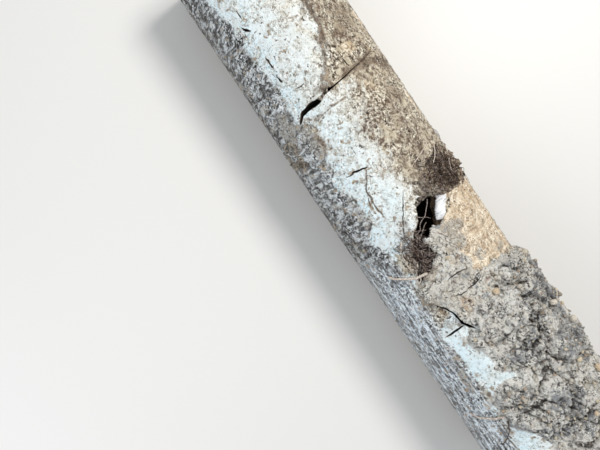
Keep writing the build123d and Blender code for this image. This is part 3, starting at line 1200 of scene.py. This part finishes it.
def cream_clay(mix, at):
    """Cream where the clay is clean, with fibrous streaks round the pipe; it also carries the painted
    highlights on the far silhouette.
    """
    fibres = mix.noise(2.6, 6, detail=5, rough=0.7, stretch=(1, 5, 5), bend=0.6)
    colour = mix.lay(rgb(212, 188, 157), at["broad"], 0.42, 0.58, rgb(235, 218, 193))
    colour = mix.lay(colour, at["blotch"], 0.48, 0.4, rgb(172, 150, 126), 0.8)
    colour = mottled(mix, colour, fibres, rgb(178, 152, 122), rgb(246, 234, 212), 0.03, 0.6)
    colour = mottled(mix, colour, at["small"], rgb(158, 136, 112), rgb(246, 238, 216), 0.05, 0.6)
    busy = mix.times(at["busy"], 0.85)
    return mottled(mix, colour, at["fine"], rgb(104, 86, 70), rgb(252, 248, 234), 0.04, busy)


def grey_flank(mix, at):
    """The grey flank, and its bluish streaks along the pipe past the hole."""
    grey = mix.lay(rgb(88, 87, 85), at["broad"], 0.43, 0.57, rgb(148, 151, 152))
    grey = mottled(mix, grey, at["blotch"], rgb(72, 69, 66), rgb(194, 199, 201), 0.02, 0.65)
    round_it = mix.noise(4, 12, detail=4, rough=0.65, stretch=(1, 2.6, 2.6), bend=0.7)
    grey = mottled(mix, grey, round_it, rgb(58, 55, 52), rgb(222, 227, 229), 0.02, 0.85)
    roots = mix.lines(12, 32, 0.008, stretch=(1, 1.8, 1.8))
    grey = mix.over(mix.times(roots, 0.55), grey, rgb(56, 48, 42))
    roots = mix.lines(15, 33, 0.006, stretch=(2, 1, 1))
    grey = mix.over(mix.times(roots, 0.5), grey, rgb(212, 208, 200))
    grey = mottled(mix, grey, at["fine"], rgb(34, 31, 29), rgb(240, 244, 246), 0.025, at["busy"])
    # Darker brown in patches, more and more towards the underside
    wavering = mix.times(mix.sum(at["blotch"], -0.5), 90.0)
    darker_below = mix.step(mix.sum(mix.field("angle"), wavering), -52, -84, 0.6)
    darker_below = mix.times(darker_below, mix.step(at["small"], 0.58, 0.46))
    grey = mix.over(darker_below, grey, rgb(74, 66, 58))
    drawn = mix.noise(1.8, 4, detail=4, rough=0.7, stretch=(13, 1, 1), bend=0.7)
    streaks = mix.lay(rgb(144, 149, 154), at["broad"], 0.43, 0.57, rgb(188, 201, 213))
    streaks = mottled(mix, streaks, at["blotch"], rgb(100, 97, 95), rgb(222, 234, 244), 0.02, 0.75)
    streaks = mottled(mix, streaks, drawn, rgb(66, 61, 58), rgb(240, 248, 253), 0.012, 0.9)
    streaks = mottled(mix, streaks, at["small"], rgb(80, 75, 72), rgb(236, 245, 250), 0.045, 0.7)
    streaks = mottled(mix, streaks, at["fine"], rgb(44, 40, 38), rgb(246, 251, 254), 0.03, at["busy"])
    streaks = mix.over(mix.times(darker_below, 0.7), streaks, rgb(112, 102, 90))
    streaky = mix.sum(mix.field("streak"), mix.times(mix.sum(at["blotch"], -0.5), 1.6))
    return mix.lay(grey, streaky, 0.3, 0.7, streaks)


def white_lime(mix, at):
    """White lime, cool towards its low edge and creamy along the crown: partly its own tint and partly
    painted light, cool on the side the cool fill lights and warm under the warm key.
    """
    angle = mix.field("angle")
    # Painted light colour: cool on the low side where the cool fill falls, warm along the crown under the
    # warm key
    colour = mix.lay(rgb(222, 244, 252), angle, -36, -18, rgb(229, 240, 241))
    colour = mix.lay(colour, angle, -20, 4, rgb(227, 224, 212))
    colour = mix.lay(colour, at["broad"], 0.51, 0.41, rgb(204, 203, 192), 0.6)
    colour = mix.lay(colour, at["blotch"], 0.49, 0.4, rgb(192, 186, 172), 0.65)
    colour = mix.lay(colour, at["dragged"], 0.52, 0.6, rgb(241, 244, 241), 0.55)
    colour = mix.lay(colour, at["small"], 0.46, 0.38, rgb(164, 156, 143), 0.75)
    colour = mix.lay(colour, at["small"], 0.55, 0.62, rgb(250, 253, 254), 0.6)
    cracks = mix.times(mix.lines(16, 34, 0.005), mix.step(at["busy"], 0.4, 0.8))
    colour = mix.over(mix.times(cracks, 0.6), colour, rgb(128, 116, 103))
    colour = mix.lay(colour, at["busy"], 0.5, 0.2, rgb(240, 249, 252), 0.45)
    busy = mix.times(at["busy"], 0.75)
    colour = mottled(mix, colour, at["fine"], rgb(130, 121, 110), rgb(254, 255, 254), 0.035, busy)
    flecks = mix.noise(2.6, 11, detail=1)
    flecks = mix.times(mix.step(flecks, 0.38, 0.32), mix.step(at["blotch"], 0.52, 0.45, 0.9))
    colour = mix.over(flecks, colour, rgb(72, 64, 58))
    return mix.over(mix.times(mix.field("clear"), 0.65), colour, rgb(227, 246, 252))


def weathered_clay():
    mix = Paint("weathered_clay")
    at = {
        "fine": mix.noise(2.0, 1, detail=4, rough=0.7, bend=0.9),
        "small": mix.noise(4, 2, detail=4, rough=0.65, bend=0.7),
        "blotch": mix.noise(10, 8, detail=4, rough=0.6),
        "broad": mix.noise(26, 3, detail=3, rough=0.6),
        "dragged": mix.noise(4.5, 9, detail=4, rough=0.65, stretch=(4.5, 1, 1), bend=0.4, turn=DRAG),
        # Where the finest grain shows most
        "busy": mix.sum(mix.step(mix.noise(12, 13, detail=3, rough=0.6), 0.42, 0.6, 0.85), 0.15),
    }

    def stirred(value, **reaches):
        """The value moved up and down by the named noises, each by its own reach."""
        for name, reach in reaches.items():
            value = mix.sum(value, mix.times(mix.sum(at[name], -0.5), reach))
        return value

    colour = tan_clay(mix, at)
    creamy = stirred(mix.field("cream"), blotch=1.2, small=0.8)
    colour = mix.over(mix.step(creamy, 0.3, 0.65), colour, cream_clay(mix, at))
    colour = mix.over(mix.field("flank"), colour, grey_flank(mix, at))
    # The bloom ends crisply on its low side and peters out on its high side
    low_cover = mix.step(stirred(mix.field("low_side"), small=14, fine=6), -1.5, 2.0)
    high_side = stirred(mix.field("high_side"), dragged=55, blotch=50, small=35, fine=14)
    cover = mix.times(low_cover, mix.step(high_side, -13, 8))
    colour = mix.over(cover, colour, white_lime(mix, at))

    # What lies over both: smooth soil film, stains, fresh broken rims and the painted highlights along
    # the far silhouette
    filmed = mix.step(stirred(mix.field("film"), small=2.4, blotch=2.4), 0.25, 0.65, 0.8)
    film = mottled(mix, rgb(160, 157, 150), at["fine"], rgb(104, 99, 92), rgb(198, 196, 190))
    colour = mix.over(filmed, colour, film)
    umber = mix.field("umber")
    stained = mix.step(stirred(umber, small=3.4, fine=2.6, blotch=1.0), 0.35, 0.8, 0.85)
    stained = mix.times(stained, mix.step(umber, 0.03, 0.25))
    stain = mottled(mix, rgb(92, 76, 63), at["fine"], rgb(40, 32, 27), rgb(140, 120, 98), 0.02)
    colour = mix.over(stained, colour, stain)
    # Near-white on the fresh broken rims, and as painted highlight on the far silhouette
    fresh = mix.times(mix.field("fresh"), mix.step(at["small"], 0.44, 0.54, 0.9))
    colour = mix.over(fresh, colour, rgb(238, 236, 228))

    # Underneath and inside, soil has dried on; the cut ends show the clay's own buff
    under = mix.lay(rgb(112, 96, 80), at["broad"], 0.4, 0.6, rgb(150, 134, 114))
    under = mottled(mix, under, at["small"], rgb(82, 68, 56), rgb(176, 160, 138), 0.03)
    under = mottled(mix, under, at["fine"], rgb(60, 50, 42), rgb(196, 182, 160), 0.06)
    below = mix.step(stirred(mix.field("under"), blotch=3.4, small=3.2), 0.3, 0.8)
    colour = mix.over(below, colour, under)
    ends = mix.lay(rgb(168, 146, 118), at["broad"], 0.4, 0.6, rgb(196, 176, 146))
    ends = mottled(mix, ends, at["small"], rgb(138, 116, 92), rgb(214, 196, 166), 0.04, 0.6)
    ends = mottled(mix, ends, at["fine"], rgb(98, 82, 66), rgb(226, 212, 186), 0.07, 0.7)
    colour = mix.over(mix.field("end"), colour, ends)
    inside = mottled(mix, rgb(72, 60, 49), at["small"], rgb(46, 38, 31), rgb(104, 88, 70), 0.03)
    colour = mix.over(mix.field("bore"), colour, inside)

    height = stirred(mix.times(cover, 0.08), small=1.0, fine=0.7)
    rough = stirred(0.88, fine=0.2)
    return mix.done(colour, rough, height, 1.5)


def broken_clay():
    """Fracture faces: pale ribbed clay where they are clean, soil-stained elsewhere, and near-black deep
    in the cracks, which is painted shade.
    """
    mix = Paint("broken_clay")
    fine = mix.noise(1.4, 21, detail=4, rough=0.7)
    small = mix.noise(4, 22, detail=4, rough=0.6)
    ribs = mix.noise(1.8, 23, detail=3, rough=0.6, stretch=(1, 5, 5))
    clean = mix.lay(rgb(196, 206, 212), ribs, 0.36, 0.46, rgb(255, 255, 255))
    clean = mix.lay(clean, fine, 0.38, 0.3, rgb(120, 120, 118), 0.6)
    dirty_and_shaded = mix.lay(rgb(36, 29, 24), small, 0.36, 0.62, rgb(100, 82, 65))
    dirty_and_shaded = mix.lay(dirty_and_shaded, fine, 0.54, 0.68, rgb(150, 134, 112), 0.6)
    # Painted shade: near-black on crack walls deep below the skin
    dirty_and_shaded = mix.over(mix.field("deep"), dirty_and_shaded, rgb(14, 11, 9))
    shown = mix.step(mix.sum(mix.field("clean"), mix.times(mix.sum(small, -0.5), 0.8)), 0.3, 0.6)
    colour = mix.over(shown, dirty_and_shaded, clean)
    height = mix.sum(mix.times(ribs, 0.8), mix.times(fine, 0.5))
    return mix.done(colour, 0.9, height, 1.0)


def soil(name, dark, middle, light, seed, accents=(), tints=(), grain=0.75):
    """Crumbly soil in three tones, its finest grain as strong as grain says.

    It has accents of (colour, size in mm, threshold) and tints of (field, colour, top).
    """
    mix = Paint(name)
    fine = mix.noise(2.2, seed, detail=4, rough=0.75, bend=0.9)
    small = mix.noise(4.5, seed + 1, detail=4, rough=0.65, bend=0.7)
    broad = mix.noise(20, seed + 2, detail=4, rough=0.6)
    colour = mix.lay(middle, broad, 0.38, 0.62, light)
    for number, (accent, size, threshold) in enumerate(accents):
        patch = mix.noise(size, seed + 5 + number, detail=4, rough=0.6)
        colour = mix.over(mix.step(patch, threshold, threshold + 0.07, 0.7), colour, accent)
    for field, tint, top in tints:
        shown = mix.sum(mix.field(field), mix.times(mix.sum(small, -0.5), 0.9))
        colour = mix.over(mix.step(shown, 0.25, 0.7, top), colour, tint)
    busy = mix.step(mix.noise(9, seed + 3, detail=3, rough=0.6), 0.42, 0.6, 0.8)
    colour = mottled(mix, colour, small, dark, light, 0.045, 0.55 * grain)
    colour = mottled(mix, colour, fine, dark, light, 0.02, mix.times(mix.sum(busy, 0.15), grain))
    # Painted shade: darker where the shade field marks crevices and gaps between clods
    colour = mix.over(mix.times(mix.field("shade"), mix.step(small, 0.66, 0.46)), colour, dark)
    height = mix.sum(mix.times(fine, 0.9), small)
    return mix.done(colour, 0.95, height, 2.9)


def grit(name, colours, seed):
    """Grains of several colours, each grain its own, by its own number from 0 to 1."""
    mix = Paint(name)
    fine = mix.noise(1.2, seed, detail=3, rough=0.7)
    own = mix.field("own")
    colour = colours[0]
    for number, following in enumerate(colours[1:], start=1):
        edge = number / len(colours)
        colour = mix.over(mix.step(own, edge - 0.01, edge + 0.01), colour, following)
    colour = mix.lay(colour, fine, 0.5, 0.32, rgb(60, 50, 42), 0.55)
    colour = mix.lay(colour, fine, 0.56, 0.7, rgb(222, 212, 194), 0.5)
    return mix.done(colour, 0.93, fine, 0.6)


def bark(name, dark, light, seed):
    """A root's skin."""
    mix = Paint(name)
    fine = mix.noise(1.1, seed, detail=3, rough=0.6)
    return mix.done(mix.lay(dark, fine, 0.38, 0.62, light), 0.8, fine, 0.4)


# The pipe itself

clay, fracture = weathered_clay(), broken_clay()
pipe = wall_mesh()
pipe.data.materials.append(clay)
breaches = [
    breach("hole", HOLE, HOLE_BORE_SHARE, ragged=1.6, wander=0.5, seed=100, lean=facet_lean),
    breach("cross", crack_sides(CROSS_CRACK), CRACK_BORE_SHARE, ragged=1.2, wander=0.3, seed=120),
    breach("fork", crack_sides(FORK_CRACK), CRACK_BORE_SHARE, ragged=1.3, wander=0.7, seed=140),
]
cut(pipe, joined(breaches, "breaches"), fracture)
branch = breach("branch", crack_sides(FORK_BRANCH), CRACK_BORE_SHARE, ragged=0.6, wander=0.5, seed=160)
cut(pipe, branch, fracture)
cut_grooves(pipe, "grooves", HAIRLINES, 200, fracture)

pipe_x, pipe_angle, pipe_radius = off_barrel(points_of(pipe))
paint_fields(pipe, fields(pipe_x, pipe_angle, pipe_radius))
smooth(pipe, CLAY_SHARP)
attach(pipe, "root")
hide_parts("pipe")

# The soil, grains and roots in place


def finished(piece, painted=(), sharp=ALL_SMOOTH):
    """Paints a piece's fields, smooths it and makes it ride on the pipe's body."""
    paint_fields(piece, dict(painted))
    smooth(piece, sharp)
    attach(piece, "root")


mud_paint = soil(
    "mud",
    dark=rgb(44, 39, 36),
    middle=rgb(207, 200, 188),
    light=rgb(240, 236, 226),
    seed=40,
    accents=[
        (rgb(206, 191, 168), 14, 0.53), (rgb(168, 144, 132), 8, 0.56), (rgb(158, 164, 169), 10, 0.55),
        (rgb(240, 242, 240), 5, 0.58),
    ],
    tints=[
        ("cloddy", rgb(240, 240, 236), 0.6), ("orange", rgb(206, 170, 130), 0.65),
        ("slate", rgb(134, 138, 144), 0.75),
    ],
    grain=1.05,
)
# Near-black paint on the walls of the drying cracks: painted shade inside them
crack_shade_paint = soil("crevice", rgb(22, 19, 16), rgb(42, 37, 32), rgb(70, 62, 54), seed=30)
mud_crust, painted = shell("mud_crust", MUD, 1.1, 5.0, mud, -SUNK, mud_paint, 500)
paint_fields(mud_crust, mud_fields(*painted))
# The drying cracks start at the mud's own skin
cut_grooves(mud_crust, "drying_cracks", MUD_CRACKS, 520, crack_shade_paint, skin=OUTER_R + 2.6)
finished(mud_crust, sharp=SOIL_SHARP)

dark_paint = soil(
    "dark_soil",
    dark=rgb(12, 10, 10),
    middle=rgb(54, 46, 44),
    light=rgb(178, 162, 150),
    seed=60,
    accents=[(rgb(60, 44, 42), 6, 0.54)],
    tints=[("pale", rgb(196, 176, 154), 0.95)],
    grain=1.1,
)
brown_paint = soil(
    "brown_soil",
    dark=rgb(44, 37, 32),
    middle=rgb(140, 128, 114),
    light=rgb(206, 196, 180),
    seed=80,
    grain=1.1,
)
hole_paint = soil(
    "hole_soil",
    dark=rgb(8, 7, 6),
    middle=rgb(46, 39, 36),
    light=rgb(134, 118, 108),
    seed=90,
    accents=[(rgb(92, 68, 64), 4, 0.6)],
    grain=1.1,
)
# Each: name, outline, cell and margin in mm, surface, underside, paint, seed, strength of the painted
# shade in its crevices
loose_soil = [
    ("root_clod", ROOT_CLOD, 1.0, 4.0, root_clod, -SUNK, dark_paint, 560, 0.9),
    ("flank_clod", LEFT_CLOD, 1.2, 4.0, left_clod, -SUNK, brown_paint, 580, 0.9),
    ("hole_lip", HOLE_LIP, 1.0, 3.0, hole_lip, -5.0, brown_paint, 570, 0.9),
    ("crack_plug", CRACK_PLUG, 0.8, 2.0, crack_plug, -5.0, brown_paint, 590, 0.9),
    ("hole_soil", HOLE_SOIL, 1.0, 2.2, hole_soil, -9.0, hole_paint, 600, 1.0),
]
for name, *build, shade_strength in loose_soil:
    piece, (x, angle, rise, shade) = shell(name, *build, open_over_gaps=False)
    painted = {"shade": shade_strength * shade}
    if name == "root_clod":
        core = depth_in(ROOT_CORE, x, angle) + 3 * cloud(on_barrel(x, angle, OUTER_R), 8, 565)
        painted["pale"] = ease(core, 2, -4)
    finished(piece, painted, SOIL_SHARP)

rng = np.random.default_rng(7)
soil_tones = [
    rgb(176, 170, 158), rgb(198, 192, 179), rgb(154, 145, 133), rgb(200, 188, 164), rgb(128, 118, 106),
    rgb(184, 179, 168), rgb(170, 152, 134), rgb(164, 165, 164), rgb(188, 182, 170),
]
dark_tones = [rgb(70, 60, 50), rgb(106, 92, 76), rgb(50, 42, 36), rgb(140, 120, 98)]
grey_tones = [rgb(120, 116, 110), rgb(160, 156, 148), rgb(90, 84, 78), rgb(186, 180, 168)]
stone_tones = [rgb(204, 190, 164), rgb(204, 186, 160), rgb(190, 182, 168), rgb(206, 198, 184)]
crumb_paint = grit("soil_crumbs", soil_tones, 100)
dark_crumbs = grit("dark_crumbs", dark_tones, 110)
flank_crumbs = grit("flank_crumbs", grey_tones, 120)


def on_mud(x, angle):
    return ease(depth_in(MUD, x, angle), 0, 5) * ease(x + angle, 100, 130)


def on_root_clod(x, angle):
    return ease(depth_in(ROOT_CLOD, x, angle), -3, 4)


def on_tan(x, angle):
    return 0.5 * ease(angle, 12, 50) * (depth_in(ROOT_CLOD, x, angle) < -4)


def on_flank(x, angle):
    return 0.6 * ease(angle, -44, -80)


# Each: name, count, patch of x and of angle, where in it, sizes in mm, seed, paint, roundness
loose_grains = [
    ("mud_grit", 1700, (100, 292, -34, 84), on_mud, (0.7, 1.8), 605, crumb_paint, 1),
    ("mud_crumbs", 300, (100, 292, -34, 84), on_mud, (1.8, 4.2), 610, crumb_paint, 2),
    ("root_crumbs", 500, (-24, 30, 8, 78), on_root_clod, (0.8, 2.2), 620, dark_crumbs, 2),
    ("tan_grit", 900, (-200, 100, 14, 84), on_tan, (0.5, 1.5), 630, crumb_paint, 1),
    ("flank_grit", 700, (-280, 290, -110, -44), on_flank, (0.5, 1.5), 640, flank_crumbs, 1),
]
for name, count, patch, wanted, sizes, seed, paint, rounds in loose_grains:
    places = scattered(rng, count, *patch, wanted)
    finished(grains(name, places, rng.uniform(*sizes, len(places)), seed, paint, rounds))

# Each pebble: x, angle, size in mm
pebbles = np.array([
    (116, 13, 8.6), (123, 26, 4.5), (183, 1.5, 4.0), (186, 3.5, 3.0), (71, -4, 5.0), (139, 12, 3.0),
    (260, 15, 6.0), (232, -9, 3.4), (203, 33, 5.0), (246, 22, 4.0), (153, 41, 6.0), (108, 52, 5.0),
    (176, 48, 7.0), (222, 44, 6.0), (133, 66, 5.0), (92, 25, 3.0),
])
stone = grit("pebble_stone", stone_tones, 130)
finished(grains("pebbles", pebbles[:, :2], pebbles[:, 2], 650, stone, rounds=3, sunk=0.1))

# Roots. Each: (x, angle, lift off the ground) points, then its two end diameters in mm
pale_roots = [
    ([(-17.5, 35, 0.5), (-12.6, 21.4, 1.6), (-8.3, 10.7, 0.5)], 0.9, 0.6),
    ([(-15, 42, 0.6), (-10, 39, 1.6), (-5, 34.4, 1.4), (1.9, 25.6, 1.0)], 1.0, 0.7),
    ([(-15.2, 60.7, 0.6), (-4.1, 55.5, 1.8), (9.5, 44.3, 1.6), (17.7, 41.3, 0.6)], 0.9, 0.5),
    (
        [(73, -21.5, 0.8), (71.9, -31.2, 1.4), (69.4, -37.4, 1.3), (66.1, -44.4, 1.0), (62, -52, 0.4)],
        2.5, 1.8,
    ),
    ([(71, -27, 1.0), (75, -28, 1.6), (78.1, -31.4, 1.0), (81.7, -34.9, 0.5)], 0.9, 0.5),
    (
        [(211.4, -33, 1.4), (211.8, -40, 2.0), (211, -46, 1.8), (210, -55, 1.0), (206, -62, 0.4)],
        1.9, 1.1,
    ),
    (
        [(39, -24.5, 0.5), (44, -28, 0.8), (50, -30.2, 0.8), (57.2, -30.8, 0.8), (68.1, -31, 0.7)],
        1.2, 0.8,
    ),
    ([(56.9, 5.9, 0.6), (50.7, 2.7, 1.2), (45.9, -2.6, 0.6)], 0.9, 0.6),
]
brown_roots = [
    ([(-13, 46, 0.8), (-6, 36, 1.8), (1.4, 26.4, 0.6)], 1.1, 0.6),
    ([(52, -18, 0.6), (58, -21, 1.4), (66, -19, 0.8), (73, -24, 1.2), (79, -31, 0.6)], 1.1, 0.6),
    ([(45, -24, 0.6), (52, -20, 1.6), (61, -24, 1.2), (69, -30, 0.6)], 0.9, 0.5),
    ([(30, -18, 0.4), (38, -21, 1.2), (46, -21, 0.9), (56, -17, 0.6)], 0.9, 0.5),
    ([(218, -34, 0.5), (224, -36, 1.0), (233, -42, 0.5), (240, -50, 0.4)], 1.0, 0.6),
]
# Thin grey roots hang across the black of the hole
grey_roots = [
    (
        [
            (21, 8, 0.4), (25.7, 5.3, -1), (31.4, 0.5, -2), (34.6, -5.4, -2), (39.6, -8.9, -1.6),
            (41, -14, -0.4),
        ],
        1.0, 0.6,
    ),
    ([(27, -6, 0.2), (30, -4, -0.8), (32.8, 0.4, -1.6), (36, 3, -2.6)], 0.7, 0.4),
    ([(36, -14.6, 0.3), (38.4, -12, -0.6), (39.6, -8.9, -1.2), (42, -5, -2.4)], 0.8, 0.5),
    ([(37, -1.5, -3), (38.5, -4.3, -2.4), (44.3, -10.9, -1.2), (46, -14, -0.4)], 0.8, 0.5),
]


def hairs(count, low_x, high_x, low_angle, high_angle, longest, thickest):
    """Curled hairs of root, scattered over a patch."""
    runs = []
    for _ in range(count):
        at = np.array([rng.uniform(low_x, high_x), rng.uniform(low_angle, high_angle)])
        heading = rng.uniform(0, 2 * np.pi)
        reach = rng.uniform(4, longest)
        steps = [np.zeros(2)]
        for _ in range(4):
            heading += rng.normal(0, 0.5)
            way = np.array([np.cos(heading), np.degrees(np.sin(heading) / OUTER_R)])
            steps.append(steps[-1] + reach / 4 * way)
        lifts = 0.3 + rng.uniform(0.2, 2.2) * np.sin(np.linspace(0, np.pi, 5))
        thick = rng.uniform(0.3, thickest)
        runs.append(([(*(at + step), lift) for step, lift in zip(steps, lifts)], thick, thick * 0.6))
    return runs


brown_roots += hairs(130, -6, 25, 17, 48, 12, 0.75) + hairs(40, -20, 26, 40, 74, 15, 0.7)
brown_roots += hairs(34, 34, 58, -27, -15, 12, 0.7)
grey_roots += hairs(90, 38, 72, -29, -12, 9, 0.6) + hairs(60, -8, 22, 8, 44, 9, 0.6)
# Each: name, runs, sides, dark and light tone, the bark's seed and the strands' seed
root_kinds = [
    ("pale_roots", pale_roots, 8, rgb(160, 144, 132), rgb(226, 216, 204), 140, 700),
    ("brown_roots", brown_roots, 5, rgb(32, 25, 23), rgb(102, 82, 70), 150, 720),
    ("grey_roots", grey_roots, 5, rgb(94, 82, 78), rgb(172, 158, 150), 160, 740),
]
for name, runs, sides, dark, light, bark_seed, seed in root_kinds:
    finished(strands(name, runs, sides, bark(name[:-1], dark, light, bark_seed), seed))

# The camera looks straight down, with the pipe's +X end to the lower right
CAMERA_PLACE = (-20.0, -90.4, 503.8)
PIPE_TILT = 56.18
SENSOR = 36.0
FOCAL_PIXELS = 451.0
PICTURE_WIDTH = 600.0

camera_data = bpy.data.cameras.new("camera")
camera_data.sensor_width = SENSOR
camera_data.lens = SENSOR * FOCAL_PIXELS / PICTURE_WIDTH
camera_data.clip_start = 0.01
camera = bpy.data.objects.new("camera", camera_data)
camera.location = Vector(CAMERA_PLACE) * MM
camera.rotation_euler = (0, 0, math.radians(PIPE_TILT))
bpy.context.scene.collection.objects.link(camera)
bpy.context.scene.camera = camera

# A pale floor, a broad soft key from the upper right and even fill
FLOOR_HALF = 3000.0
corners = [(x * FLOOR_HALF, y * FLOOR_HALF, 0) for x, y in ((-1, -1), (1, -1), (1, 1), (-1, 1))]
floor = mesh_object("floor", corners, [[0, 1, 2, 3]])
floor_paint = bpy.data.materials.new("floor")
floor_paint.use_nodes = True
floor_shader = floor_paint.node_tree.nodes["Principled BSDF"]
floor_shader.inputs["Base Color"].default_value = (0.75, 0.74, 0.72, 1)
floor.data.materials.append(floor_paint)


def area_light(name, place, aim, size, power, colour):
    data = bpy.data.lights.new(name, "AREA")
    data.shape = "DISK"
    data.size = size
    data.energy = power
    data.color = colour
    light = bpy.data.objects.new(name, data)
    light.location = place
    light.rotation_euler = (Vector(aim) - Vector(place)).to_track_quat("-Z", "Y").to_euler()
    bpy.context.scene.collection.objects.link(light)


aim = (0, 0, 0.06)
area_light("key", (-0.3, 0.75, 1.3), aim, size=0.5, power=17.0, colour=(1.0, 0.975, 0.93))
area_light("fill", (0.1, -1.1, 0.75), aim, size=1.2, power=6.5, colour=(0.92, 0.96, 1.0))
world = bpy.data.worlds.new("world")
world.use_nodes = True
background = world.node_tree.nodes["Background"]
background.inputs["Color"].default_value = (0.93, 0.96, 1.0, 1)
background.inputs["Strength"].default_value = 0.5
bpy.context.scene.world = world
bpy.context.scene.view_settings.view_transform = "Standard"
